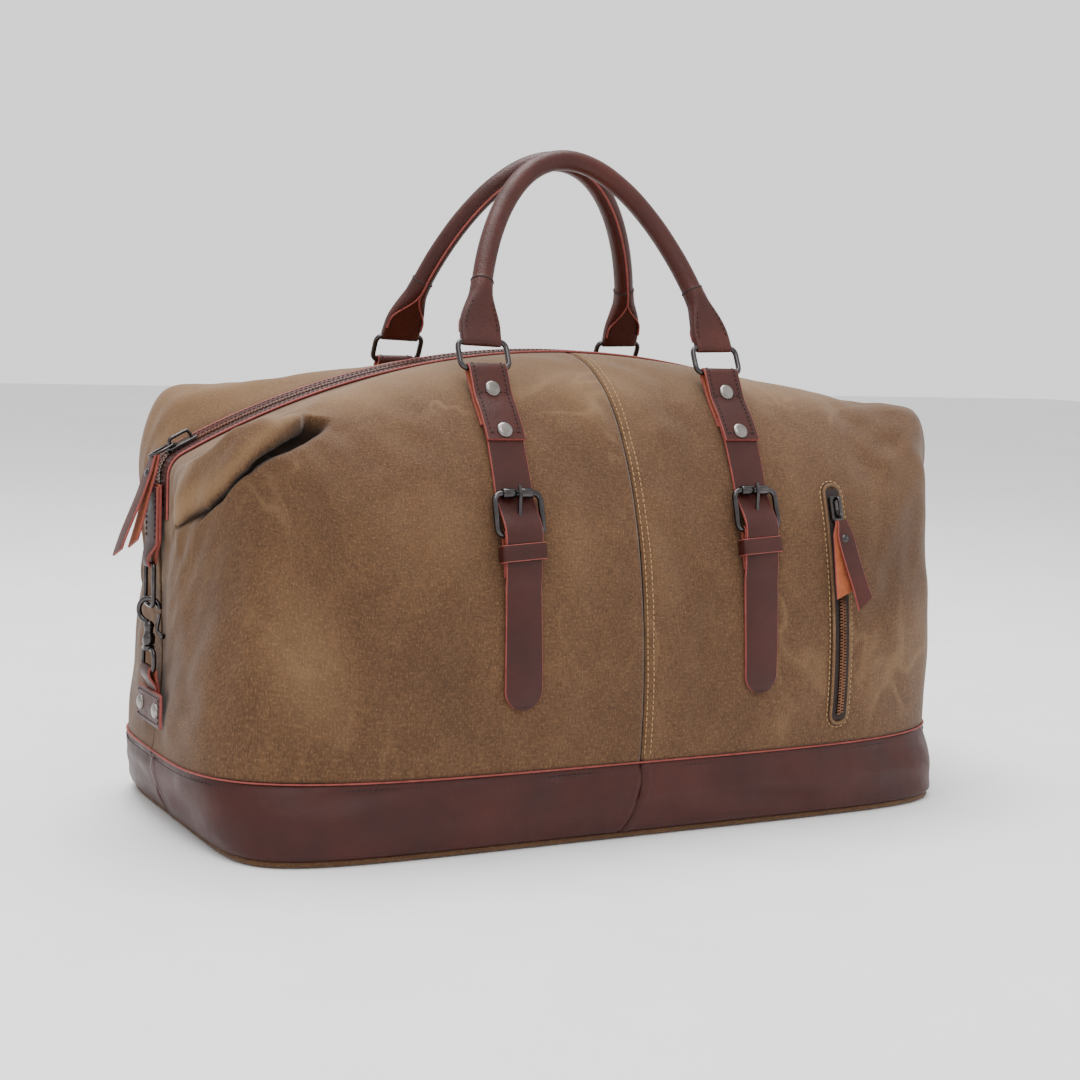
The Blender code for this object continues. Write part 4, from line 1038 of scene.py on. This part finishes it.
def strap(name, path, x, half, thick, node, tip=False, turn=NO_TURN, stitch=None):
    """A leather strap along path, (y, z) points, with painted edges. tip gives it a rounded end and a slight wave.

    stitch is the inset of two rows of stitches, and how far they start and stop from the ends."""
    flat_line = rounded_line(path, 0.0016, 3)
    line = np.concatenate([np.full((len(flat_line), 1), x), flat_line], 1)
    along = tangents(line)
    flat = alike((1.0, 0.0, 0.0), line)
    face = unit(np.cross(along, flat))
    if face[len(face) // 3][1] > 0:
        face = -face
    run = run_of(line)
    left = run[-1] - run
    width = np.full(len(line), half)
    if tip:
        width = np.where(left < half, np.sqrt(np.maximum(half**2 - (half - left) ** 2, 1e-8)), half)
        width = np.maximum(width, 0.0009) + np.sin(run * 55 + x * 90) * 0.0003
    section, edges = rounded_section(half, thick / 2, thick * 0.24)
    scale = np.stack([width / half, np.ones(len(line))], 1)
    build = Build()
    build.sweep(line, flat, face, section, edges, scale=scale)
    build.done(name, ("leather", "edge", "flesh"), ROOT, node, turn=turn)
    if stitch:
        thread = Build()
        inset, start, stop = stitch
        keep = (run > start) & (left > stop)
        surface = line + face * (thick / 2 + 0.0001)
        for sign in (-1, 1):
            shift = flat * (sign * (width - inset))[:, None]
            stitches(thread, (surface + shift)[keep], face[keep], 0.0030, 0.0021, 0.00036)
        for stop_at in (start + 0.0015, start + 0.0300):
            i = int(np.searchsorted(run, stop_at))
            bar = surface[i] + np.linspace(-1, 1, 9)[:, None] * flat[i] * (half - inset)
            stitches(thread, bar, alike(face[i], bar), 0.0030, 0.0021, 0.00036)
        thread.done(name + "_stitches", "dark_thread", turn=turn)


RING_LEG = [(0.2362, 0.0050), (0.2435, 0.0050), (0.2515, 0.0051), (0.2600, 0.0052)]


def arc(centre, radius, start, stop, steps):
    angle = np.radians(np.linspace(start, stop, steps + 1))
    return [(centre[0] + radius * math.cos(a), centre[1] + radius * math.sin(a)) for a in angle]


def ring_strap_path(profile):
    wrap = RING_WIRE + 0.0004 + 0.00075
    lean = math.degrees(math.atan2(RING_HIGH[1] - RING_LOW[1], RING_HIGH[0] - RING_LOW[0]))
    outer = [tuple(at_height(profile, *spot)) for spot in RING_LEG]
    inner = [tuple(at_height(profile, *spot)) for spot in ((0.2590, 0.0014), (0.2520, 0.0012), (0.2460, 0.0012))]
    return outer + arc(RING_LOW, wrap, lean + 95, lean - 95, 16) + inner


BUCKLE_PATH = [
    (0.2500, 0.0031), (0.2420, 0.0031), (0.2360, 0.0030), (0.2290, 0.0022), (0.2200, 0.0018), (0.2120, 0.0015),
    (0.2065, 0.0015), (0.2032, 0.0019), (0.1985, 0.0038), (0.1930, 0.0065), (0.1878, 0.0087), (0.1835, 0.0092),
    (0.1795, 0.0084), (0.1755, 0.0070), (0.1715, 0.0060), (0.1660, 0.0055), (0.1600, 0.0047), (0.1530, 0.0030),
    (0.1430, 0.0025), (0.1300, 0.0018), (0.1160, 0.0015), (0.1000, 0.0015), (TIP_Z, 0.0015),
]


RIVET_HEIGHTS = (0.2675, 0.2440)


def rivet(build, leg, x, z, turn=NO_TURN):
    """A domed rivet head at height z on a strap's leg, which is a line of (y, z) points."""
    i = max(n for n in range(len(leg) - 1) if leg[n][1] <= z)
    low, high = np.array([0, *leg[i]]), np.array([0, *leg[i + 1]])
    place = low + (high - low) * (z - low[2]) / (high[2] - low[2])
    out = unit(np.cross((1, 0, 0), high - low))
    out = -out if out[1] > 0 else out
    origin = (place + np.array([x, 0, 0]) + out * 0.0009) * turn
    profile = [(0.0001, 0.0017), (0.0026, 0.00165), (0.0039, 0.0014), (0.0047, 0.0009), (0.0050, 0.0004), (0.0050, 0.0)]
    lathe(build, profile, origin, out * turn, sides=40)


def straps():
    half, thick = STRAP_HALF + 0.0006, 0.0017
    stitch = (0.0030, 0.002, 0.04)
    for side, far, x in (("left", "right", -STRAP_X), ("right", "left", STRAP_X)):
        profile = front_profile(x)
        path = ring_strap_path(profile)
        strap(f"ring_strap_{side}", path, x, half, thick, f"ring_strap_front_{side}", stitch=stitch)
        strap(f"ring_strap_rear_{far}", path, x, half, thick, f"ring_strap_back_{far}", turn=HALF_TURN, stitch=stitch)
        for number, z in enumerate(RIVET_HEIGHTS, 1):
            build = Build()
            rivet(build, path[:5], x, z)
            build.done(f"rivet_head_{side}_{number}", "nickel", ROOT, f"rivet_{side}_{number}")
        build = Build()
        for z in RIVET_HEIGHTS:
            rivet(build, path[:5], x, z, HALF_TURN)
        build.done(f"rivet_heads_rear_{far}", "nickel")
        buckle(side, profile, x)


def buckle(side, profile, x):
    """The buckle strap, the chape, and the buckle's frame, roller and prong."""
    def along_bag(spots):
        return [tuple(at_height(profile, *spot)) for spot in spots]

    strap(f"strap_{side}", along_bag(BUCKLE_PATH), x, STRAP_HALF, 0.0017, f"buckle_strap_{side}", tip=True)
    heel, top = at_height(profile, HEEL_Z, HEEL_OUT), at_height(profile, ROLLER_Z, ROLLER_OUT)
    # The chape: its fold round the heel bar shows between the frame and the keeper.
    ny, nz = normal_at(profile, HEEL_Z)
    facing_angle = math.degrees(math.atan2(nz, ny))
    path = along_bag(((0.1600, 0.0033), (0.1630, 0.0034), (0.1700, 0.0037), (0.1755, 0.0050)))
    path += arc(heel, BUCKLE_WIRE + 0.0003 + 0.00055, facing_angle, facing_angle - 180, 12)
    path += along_bag(((0.1765, 0.0022), (0.1680, 0.0021), (0.1600, 0.0020)))
    strap(f"chape_{side}_leather", path, x, 0.0116, 0.0011, f"chape_{side}")

    up = unit(np.array([0, top[0] - heel[0], top[1] - heel[1]]))
    middle = np.array([x, (heel[0] + top[0]) / 2, (heel[1] + top[1]) / 2])
    out = unit(np.cross((1, 0, 0), up))
    out = -out if out[1] > 0 else out
    corners, _ = rounded_section(BUCKLE_HALF, math.dist(heel, top) / 2, 0.0042, 6)
    build = Build()
    loop = np.array([middle + np.array([a, 0, 0]) + up * b for a, b in corners])
    wire(build, loop, BUCKLE_WIRE, out, closed=True, step=0.001, sides=14)
    build.done(f"frame_{side}", "gunmetal", f"buckle_frame_{side}", f"buckle_frame_{side}")
    build = Build()
    tube = [(0.0024, -0.0042), (0.0029, -0.0040), (0.0031, -0.0034)]
    tube += [(radius, -place) for radius, place in tube[::-1]]
    for sign in (-1, 1):
        lathe(build, tube, np.array([x, *top]) + np.array([sign * 0.0056, 0, 0]), (1, 0, 0), sides=24)
    build.done(f"roller_tube_{side}", "gunmetal", f"roller_{side}", f"roller_{side}")
    build = Build()
    reach = BUCKLE_WIRE + 0.0003 + 0.0011
    turn = np.radians(np.linspace(-150, 0, 12))
    prong = [np.array([x, *heel]) + up * reach * math.cos(a) + out * reach * math.sin(a) for a in turn]
    rest = ((0.1900, 0.0048), (0.1950, 0.0060), (0.2005, 0.0080), (0.2050, 0.0100), (0.2095, 0.0101))
    prong += [np.array([x, *spot]) for spot in along_bag(rest)]
    wire(build, prong, 0.0012, (1.0, 0, 0), step=0.0008)
    build.done(f"tongue_{side}", "gunmetal", f"prong_{side}", f"prong_{side}")
    keeper(side, profile, x)


def keeper(side, profile, x):
    """A loop of leather strip, a little askew, with a painted edge above and below."""
    low, high, wall = 0.0004, 0.0098, 0.0011
    centre = at_height(profile, KEEPER_Z, (low + high) / 2)
    out = np.array([0, *normal_at(profile, KEEPER_Z)])
    up = unit(np.cross((1, 0, 0), out))
    up = -up if up[2] < 0 else up
    outline, _ = rounded_section(STRAP_HALF + 0.0026 - wall / 2, (high - low) / 2 - wall / 2, 0.0022, 5)
    loop = resample(np.array(outline), 0.0009, closed=True)
    ring = np.array([x, *centre]) + np.array([[1.0, 0, 0]]) * loop[:, :1] + out * loop[:, 1:]
    outwards = unit(np.cross(tangents(ring, closed=True), alike(up, ring)))
    if (outwards[0] @ (ring[0] - ring.mean(0))) < 0:
        outwards = -outwards
    section, edges = rounded_section(KEEPER_HEIGHT / 2, wall / 2, 0.0004)
    build = Build()
    build.sweep(ring + up * (loop[:, :1] * 0.06), alike(up, ring), outwards, section, edges, closed=True)
    build.done(f"keeper_loop_{side}", ("leather", "edge", "flesh"), f"keeper_{side}", f"keeper_{side}")


# ---- rings and handles


def rings():
    up = unit(np.array([0, RING_HIGH[0] - RING_LOW[0], RING_HIGH[1] - RING_LOW[1]]))
    half = math.dist(RING_HIGH, RING_LOW) / 2
    middle = (np.array([0, *RING_HIGH]) + np.array([0, *RING_LOW])) / 2
    out = unit(np.cross((1, 0, 0), up))
    corners, _ = rounded_section(RING_HALF, half, 0.0042, 6)
    for place, turn in (("front", NO_TURN), ("back", HALF_TURN)):
        for x in (-STRAP_X, STRAP_X):
            build = Build()
            loop = np.array([middle + np.array([x + a, 0, 0]) + up * b for a, b in corners])
            wire(build, loop, RING_WIRE, out, closed=True, step=0.001, sides=14)
            name = f"ring_{place}_" + ("left" if x * turn[0] < 0 else "right")
            build.done("wire_" + name, "gunmetal", f"{place}_rings", name, turn=turn)


def handle_line(step=0.0015):
    """The handle's middle line from the left ring's bar to the right one, and its upward direction."""
    foot = np.array([0, *RING_HIGH])
    rise = np.array([0, HANDLE_TOP[0] - RING_HIGH[0], HANDLE_TOP[1] - RING_HIGH[1]])
    height = np.linalg.norm(rise)
    up = rise / height
    angle = np.linspace(math.pi, 0, 900)
    x = STRAP_X * np.cos(angle)
    h = height * np.abs(np.sin(angle)) ** (2 / 1.5)
    return resample(foot + np.array([1.0, 0, 0]) * x[:, None] + up * h[:, None], step), up


FLARE_HALF, FLARE_THICK = 0.0132, 0.0030
CROSS_SEAM = 0.0412


def handles():
    """Rolled leather tubes whose ends open into stitched flaps folded round the rings."""
    line, up = handle_line()
    run = run_of(line)
    from_bar = np.minimum(run, run[-1] - run)
    through = unit(np.cross((1, 0, 0), up))
    through = -through if through[1] > 0 else through
    along = tangents(line)
    across = unit(np.cross(along, alike(through, line)))
    t = smooth((from_bar - 0.008) / 0.030)
    width = FLARE_HALF + (HANDLE_RADIUS - FLARE_HALF) * t
    thick = FLARE_THICK + (HANDLE_RADIUS - FLARE_THICK) * t
    power = 5 + (2 - 5) * t
    swell = 1 + 0.07 * smooth((from_bar - 0.030) / 0.006) * smooth((0.0415 - from_bar) / 0.0012)
    angle = np.linspace(0, 2 * math.pi, 40, endpoint=False)
    c, s = np.cos(angle)[None], np.sin(angle)[None]
    a = (width * swell)[:, None] * np.sign(c) * np.abs(c) ** (2 / power[:, None])
    b = (thick * swell)[:, None] * np.sign(s) * np.abs(s) ** (2 / power[:, None])
    wrinkle = 1 + 0.010 * np.sin(run * 240)[:, None] * np.maximum(s, 0) * t[:, None]
    rows = line[:, None] + across[:, None] * (a * wrinkle)[..., None] + through * (b * wrinkle)[..., None]
    # The seam runs down the side that faces the other handle.
    seam = 1 - np.exp(-(((angle - 1.5 * math.pi) / 0.14) ** 2))
    rows = line[:, None] + (rows - line[:, None]) * (0.93 + 0.07 * seam)[None, :, None]
    # There the two edges of the flap run up from the ring and meet in the seam.
    inner = line - through * (thick * swell)[:, None]
    apart = 0.93 * width * (1 - smooth((from_bar - 0.012) / 0.022))
    edge_section = [(p * 1.3, q) for p, q in circle(0.0006, 8)]
    stitched = (from_bar > 0.005) & (from_bar < 0.026)
    for place, turn in (("front", NO_TURN), ("back", HALF_TURN)):
        body = f"{place}_handle"
        build = Build()
        build.grid(rows, close=True)
        for end, sign in ((0, -1), (-1, 1)):
            cap_round(build, rows[end], along[end] * sign, through)
        build.done(f"rolled_{place}", "soft_leather", body, f"handle_{place}", turn=turn)
        build = Build()
        for sign in (-1, 1):
            edge = (inner + across * (sign * apart)[:, None])[4:-4]
            build.sweep(edge, across[4:-4], alike(through, edge), edge_section)
        build.done(f"handle_seam_{place}", "edge", body, turn=turn)
        build = Build()
        for end in (1, -1):
            i = int(np.argmin(np.abs(from_bar - CROSS_SEAM) + 10 * (np.sign(line[:, 0]) != end)))
            wire(build, rows[i], 0.00045, along[i], closed=True, step=0.001, passes=0)
        build.done(f"handle_cross_seams_{place}", "dark_thread", body, turn=turn)
        build = Build()
        for face in (-1, 1):
            for sign in (-1, 1):
                edge = line + across * (sign * (width - 0.0028))[:, None] + through * (face * (thick + 0.0001))[:, None]
                for pick in (stitched & (run < run[-1] / 2), stitched & (run > run[-1] / 2)):
                    stitches(build, edge[pick], alike(through * face, edge[pick]))
        build.done(f"handle_stitches_{place}", "dark_thread", body, turn=turn)


def cap_round(build, ring, outwards, through):
    """Closes a flap's end with a half-round fold."""
    middle = ring.mean(0)
    offset = ring - middle
    flat = (offset @ through)[:, None] * through
    rows = [ring]
    for angle in math.pi / 2 * np.arange(1, 5) / 4:
        narrow, thin = 1 - 0.04 * (1 - math.cos(angle)), max(math.cos(angle), 0.02)
        rows.append(middle + (offset - flat) * narrow + flat * thin + outwards * FLARE_THICK * math.sin(angle))
    build.grid(np.array(rows), close=True)
    build.fan(rows[-1])


# ---- the front pocket


def pocket_arc():
    """Centre and radius of the arc that the pocket's zip follows, through three points of the canvas."""
    profile = front_profile(POCKET_X)
    (ay, az), (by, bz), (cy, cz) = (at_height(profile, z, 0.0024) for z in (POCKET_LOW, 0.140, POCKET_HIGH))
    d = 2 * (ay * (bz - cz) + by * (cz - az) + cy * (az - bz))
    a2, b2, c2 = ay * ay + az * az, by * by + bz * bz, cy * cy + cz * cz
    y = (a2 * (bz - cz) + b2 * (cz - az) + c2 * (az - bz)) / d
    z = (a2 * (cy - by) + b2 * (ay - cy) + c2 * (by - ay)) / d
    return (y, z), math.hypot(ay - y, az - z)


POCKET_CENTRE, POCKET_RADIUS = pocket_arc()
POCKET_PITCH = 0.0019


def on_pocket(z, out=0.0):
    angle = math.asin((z - POCKET_CENTRE[1]) / POCKET_RADIUS)
    reach = POCKET_RADIUS + out
    return np.array([POCKET_CENTRE[0] - reach * math.cos(angle), POCKET_CENTRE[1] + reach * math.sin(angle)])


def pocket():
    heights = np.linspace(POCKET_HIGH, POCKET_LOW, 60)
    line = np.array([[POCKET_X, *on_pocket(z)] for z in heights])
    normals = unit(np.array([[0, *(on_pocket(z, 1) - on_pocket(z))] for z in heights]))
    flat = alike((1.0, 0, 0), line)
    build = Build()
    section, _ = rounded_section(0.0056, 0.0005, 0.0003)
    build.sweep(line - normals * 0.0005, flat, normals, section)
    build.done("pocket_tape", "tape", ROOT, "pocket_zipper")
    teeth = Build()
    for k, z in enumerate(np.arange(POCKET_LOW + 0.004, POCKET_HIGH - 0.006, POCKET_PITCH / 2)):
        side, out = 1 if k % 2 else -1, np.array([0, *unit(on_pocket(z, 1) - on_pocket(z))])
        origin = np.array([POCKET_X + side * 0.001, *on_pocket(z)]) + out * 0.0006
        tooth(teeth, origin, np.cross((1, 0, 0), out), (side, 0, 0), out, 0.0011, 0.0028, 0.0014)
    teeth.done("pocket_teeth", "teeth", flat=True)
    # The canvas is turned back round the slit and stitched down.
    welt = Build()
    thread = Build()
    half, low, high = 0.0060, POCKET_LOW - 0.003, POCKET_HIGH + 0.003
    outline, _ = rounded_section(half, (high - low) / 2, half * 0.98, 10)
    loop = resample(np.array(outline), 0.002, closed=True)
    middle = (low + high) / 2
    spots = np.array([[POCKET_X + a, *on_pocket(middle + b, 0.0)] for a, b in loop])
    outs = unit(np.array([[0, *(on_pocket(middle + b, 1) - on_pocket(middle + b))] for a, b in loop]))
    along = tangents(spots, closed=True)
    across = np.cross(along, outs)
    welt.sweep(spots, across, outs, [(p * 1.1, q * 0.8 - 0.0006) for p, q in circle(0.0010, 10)], closed=True)
    dress_cloth(welt.done("pocket_welt", "canvas"), 0.62)
    ring = spots + across * 0.0026 - outs * 0.0014
    if np.abs(ring[:, 0] - POCKET_X).max() < np.abs(spots[:, 0] - POCKET_X).max():
        ring -= across * 0.0052
    stitches(thread, np.concatenate([ring, ring[:1]]), np.concatenate([outs, outs[:1]]), 0.0034, 0.0025, 0.00032)
    thread.done("pocket_stitches", "tan_thread")

    z = POCKET_SLIDER_Z
    out = np.array([0, *unit(on_pocket(z, 1) - on_pocket(z))])
    along = unit(np.cross((1, 0, 0), out))
    along = -along if along[2] < 0 else along
    origin = np.array([POCKET_X, *on_pocket(z, 0.0022)])
    slider("slider_pocket", "pocket_slider", "pocket_slider", origin, along, out, 0.0044, 0.0155, 0.0040)
    start = np.array([POCKET_X, *on_pocket(z - 0.0085, 0.0058)])
    tip = np.array([POCKET_X, *on_pocket(z - 0.0620, 0.0110)])
    folded_pull("pull_pocket", "pocket_pull", "pocket_pull", start, tip - start, np.array([-1.0, 0, 0]), 0.0545,
                (0.002, 0.0003, -0.008, 0.004))


# ---- the hardware of the ends


def end_strap(name, path, widths, thick, node, turn, stitch=False):
    """A strap of the end along (x, z) points, flat across Y, with a half width at each point."""
    packed = rounded_line([(*spot, width) for spot, width in zip(path, widths)], 0.0012, 3)
    line = np.stack([packed[:, 0], np.zeros(len(packed)), packed[:, 1]], 1)
    along = tangents(line)
    flat = alike((0.0, 1.0, 0.0), line)
    face = unit(np.cross(along, flat))
    if face[-1][0] > 0:
        face = -face
    section, edges = rounded_section(0.01, thick / 2, thick * 0.24)
    build = Build()
    build.sweep(line, flat, face, section, edges, scale=np.stack([packed[:, 2] / 0.01, np.ones(len(line))], 1))
    build.done(name, ("leather", "edge", "flesh"), ROOT, node, turn=turn)
    if stitch:
        thread = Build()
        keep = (line[:, 0] < END_X + 0.004) & (line[:, 2] > 0.172) & (np.arange(len(line)) > len(line) * 0.5)
        for sign in (-1, 1):
            edge = line + flat * (sign * (packed[:, 2] - 0.0028))[:, None] + np.array([-thick / 2 - 0.0001, 0, 0])
            stitches(thread, edge[keep], alike((-1.0, 0, 0), edge[keep]))
        thread.done(name + "_stitches", "dark_thread", turn=turn)


HOOK_ANGLE = math.radians(-50)
HOOK_ACROSS = np.array([math.cos(HOOK_ANGLE), math.sin(HOOK_ANGLE), 0])


def on_hook(across, up):
    return np.array([END_X, 0, SNAP_Z + up]) + HOOK_ACROSS * across


def end_hardware(side, turn):
    """Tab, wire ring, snap hook, leather loop and riveted patch of one end."""
    wrap = END_WIRE + 0.0004 + 0.00075
    inner, outer = END_X + wrap, END_X + 0.0008
    path = [(inner, 0.2055), (inner, 0.1900), (inner, 0.1720), (inner, 0.1640)]
    path += arc((END_X, TAB_BAR_Z), wrap, 0, -180, 12)
    path += [(END_X - wrap, 0.1625), (outer, 0.1700), (outer, 0.1860), (outer, 0.2040)]
    widths = [0.0110 if z > 0.169 else 0.0052 if z > 0.1622 else 0.0042 for _, z in path]
    end_strap(f"tab_{side}", path, widths, 0.0016, f"end_tab_{side}", turn, stitch=True)

    for name, node, half, low, high in (
        (f"ring_{side}_end", f"end_ring_{side}", 0.0080, END_RING_LOW, TAB_BAR_Z),
        (f"eye_{side}", f"snap_eye_{side}", 0.0108, EYE_LOW, EYE_HIGH),
    ):
        corners, _ = rounded_section(half, (high - low) / 2, 0.0034, 6)
        build = Build()
        loop = [np.array([END_X, a, (low + high) / 2 + b]) for a, b in corners]
        wire(build, loop, END_WIRE, (1.0, 0, 0), closed=True, step=0.0009)
        if high == EYE_HIGH:
            collar = [(0.0026, -0.0016), (0.0034, -0.0012), (0.0034, 0.0012), (0.0026, 0.0016)]
            lathe(build, collar, np.array([END_X, 0, EYE_HIGH + 0.0003]), (0, 0, 1), sides=24)
        build.done(name, "gunmetal", node, node, turn=turn)

    hook_side = np.cross(HOOK_ACROSS, (0, 0, 1))
    build = Build()
    wire(build, [on_hook(*p) for p in arc((0, 0), SNAP_RADIUS, 8, 262, 40)], 0.0016, hook_side, step=0.0007, passes=1)
    stem = [(0.0016, -0.0066), (0.0026, -0.0078), (0.0032, -0.0092), (0.0026, -0.0110), (0.0024, -0.0135),
            (0.0034, -0.0150), (0.0037, -0.0160), (0.0037, -0.0196), (0.0030, -0.0206)]
    lathe(build, stem, np.array([END_X, 0, SNAP_Z]), (0, 0, 1), sides=24)
    build.done(f"hook_{side}", "gunmetal", f"snap_body_{side}", f"snap_body_{side}", turn=turn)
    build = Build()
    lever = [(0.0094, -0.0150), (0.0078, -0.0138), (0.0056, -0.0125), (0.0056, -0.0100), (0.0062, -0.0070),
             (0.0069, -0.0040), (0.0070, -0.0016)]
    wire(build, [on_hook(*p) for p in lever], 0.0011, hook_side, step=0.0007)
    knob = [(0.0008, -0.0012), (0.0017, -0.0008), (0.0017, 0.0008), (0.0008, 0.0012)]
    lathe(build, knob, on_hook(*lever[0]), HOOK_ACROSS, sides=16)
    build.done(f"gate_{side}", "gunmetal", f"snap_gate_{side}", f"snap_gate_{side}", turn=turn)

    wrap = END_WIRE + 0.0004 + 0.0006
    inner, outer = -0.26375, -0.26535
    path = [(inner, 0.0660), (inner, 0.0750), (inner, 0.0830), (END_X + wrap, 0.0905)]
    path += arc((END_X, EYE_LOW), wrap, 0, 180, 12)
    path += [(END_X - wrap, 0.0915), (outer, 0.0845), (outer, 0.0750), (outer, 0.0660)]
    end_strap(f"loop_{side}", path, [0.0085] * len(path), 0.0013, f"anchor_loop_{side}", turn)

    section, _ = rounded_section(0.0225, 0.0103, 0.0025, 5)
    centre = np.array([-0.26700, 0, 0.0720])
    levels = ((1.0, -0.0007), (1.0, 0.0003), (0.985, 0.0008), (0.9, 0.0010), (0.5, 0.0010))
    rows = np.array([[centre + np.array([-h, a * s, b * s]) for a, b in section] for s, h in levels])
    build = Build()
    build.grid(rows[:2], 1, close=True)
    build.grid(rows[1:3], 1, close=True)
    build.grid(rows[2:], close=True)
    build.fan(rows[-1])
    build.done(f"patch_{side}", ("leather", "edge"), ROOT, f"anchor_patch_{side}", turn=turn)
    build = Build()
    dome = [(0.0001, 0.0024), (0.0022, 0.0022), (0.0038, 0.0016), (0.0047, 0.0008), (0.0047, 0)]
    for y in (-0.0145, 0.0145):
        lathe(build, dome, centre + np.array([-0.0008, y, 0]), (-1, 0, 0), sides=28)
    build.done(f"patch_rivets_{side}", "nickel", turn=turn)
    build = Build()
    inset = [centre + np.array([-0.0011, a * 0.89, b * 0.76]) for a, b in section]
    edge = resample(np.array(inset), 0.002, closed=True)
    stitches(build, edge, alike((-1.0, 0, 0), edge))
    build.done(f"patch_stitches_{side}", "dark_thread", turn=turn)


# ---- camera, floor and light


def camera():
    azimuth, elevation, roll, distance = math.radians(-28.42), math.radians(6.10), math.radians(2.07), 1.281
    level = math.cos(elevation)
    back = Vector((math.sin(azimuth) * level, -math.cos(azimuth) * level, math.sin(elevation)))
    lens = bpy.data.cameras.new("camera")
    lens.lens, lens.sensor_width = 65.2333, 36
    lens.shift_x, lens.shift_y = 0.002037, -0.014537
    lens.clip_start = 0.05
    eye = link("camera", lens)
    turn = (-back).to_track_quat("-Z", "Y").to_matrix().to_4x4() @ Matrix.Rotation(roll, 4, "Z")
    eye.matrix_world = Matrix.Translation(Vector((-0.0078, 0, 0.1763)) + back * distance) @ turn
    bpy.context.scene.camera = eye


def area_light(name, place, target, size, power):
    light = bpy.data.lights.new(name, "AREA")
    light.shape = "RECTANGLE"
    light.size, light.size_y = size
    light.energy = power
    direction = Vector(target) - Vector(place)
    turn = direction.to_track_quat("-Z", "Y").to_matrix().to_4x4()
    link(name, light).matrix_world = Matrix.Translation(place) @ turn


WORLD_LIGHT, SEEN_EXTRA = 1.15, 0.22


def studio():
    """A pale floor, a white world that looks a little lighter than it shines, and three soft lights."""
    world = bpy.data.worlds.new("studio")
    world.use_nodes = True
    tree = world.node_tree
    sky = tree.nodes["Background"]
    sky.inputs["Color"].default_value = (1, 1, 1, 1)
    strength = tree.nodes.new("ShaderNodeMath")
    strength.operation = "MULTIPLY_ADD"
    tree.links.new(tree.nodes.new("ShaderNodeLightPath").outputs["Is Camera Ray"], strength.inputs[0])
    strength.inputs[1].default_value, strength.inputs[2].default_value = SEEN_EXTRA, WORLD_LIGHT
    tree.links.new(strength.outputs[0], sky.inputs["Strength"])
    bpy.context.scene.world = world
    shape = bmesh.new()
    bmesh.ops.create_grid(shape, x_segments=8, y_segments=8, size=6)
    data = bpy.data.meshes.new("floor")
    shape.to_mesh(data)
    shape.free()
    data.materials.append(plain_material("pale_floor", (0.86, 0.86, 0.86, 1), (0.90, 0.90, 0.90, 1), 2, 0.7))
    floor = link("floor", data)
    floor.location = (0, 0, -0.0005)
    area_light("key", (-0.5, -1.2, 1.9), (0, 0, 0.15), (1.2, 1.2), 19)
    area_light("fill", (1.6, -1.4, 1.0), (0, 0, 0.15), (1.4, 1.4), 4)
    area_light("top", (-0.1, 0.4, 1.9), (0, 0, 0.2), (1.5, 1.0), 46)


# ---- the whole bag

camera()
studio()
for part in (canvas, canvas_stitching, base_panels, base_trim, bottom_panel, slack_lining, top_zip, main_slider, straps,
             rings, handles, pocket):
    part()
end_hardware("left", NO_TURN)
end_hardware("right", HALF_TURN)
for hidden, kind in (("base_board", "board"), ("pocket_pouch", "lining")):
    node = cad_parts[hidden]
    node.data.materials.clear()
    node.data.materials.append(MATERIALS[kind])
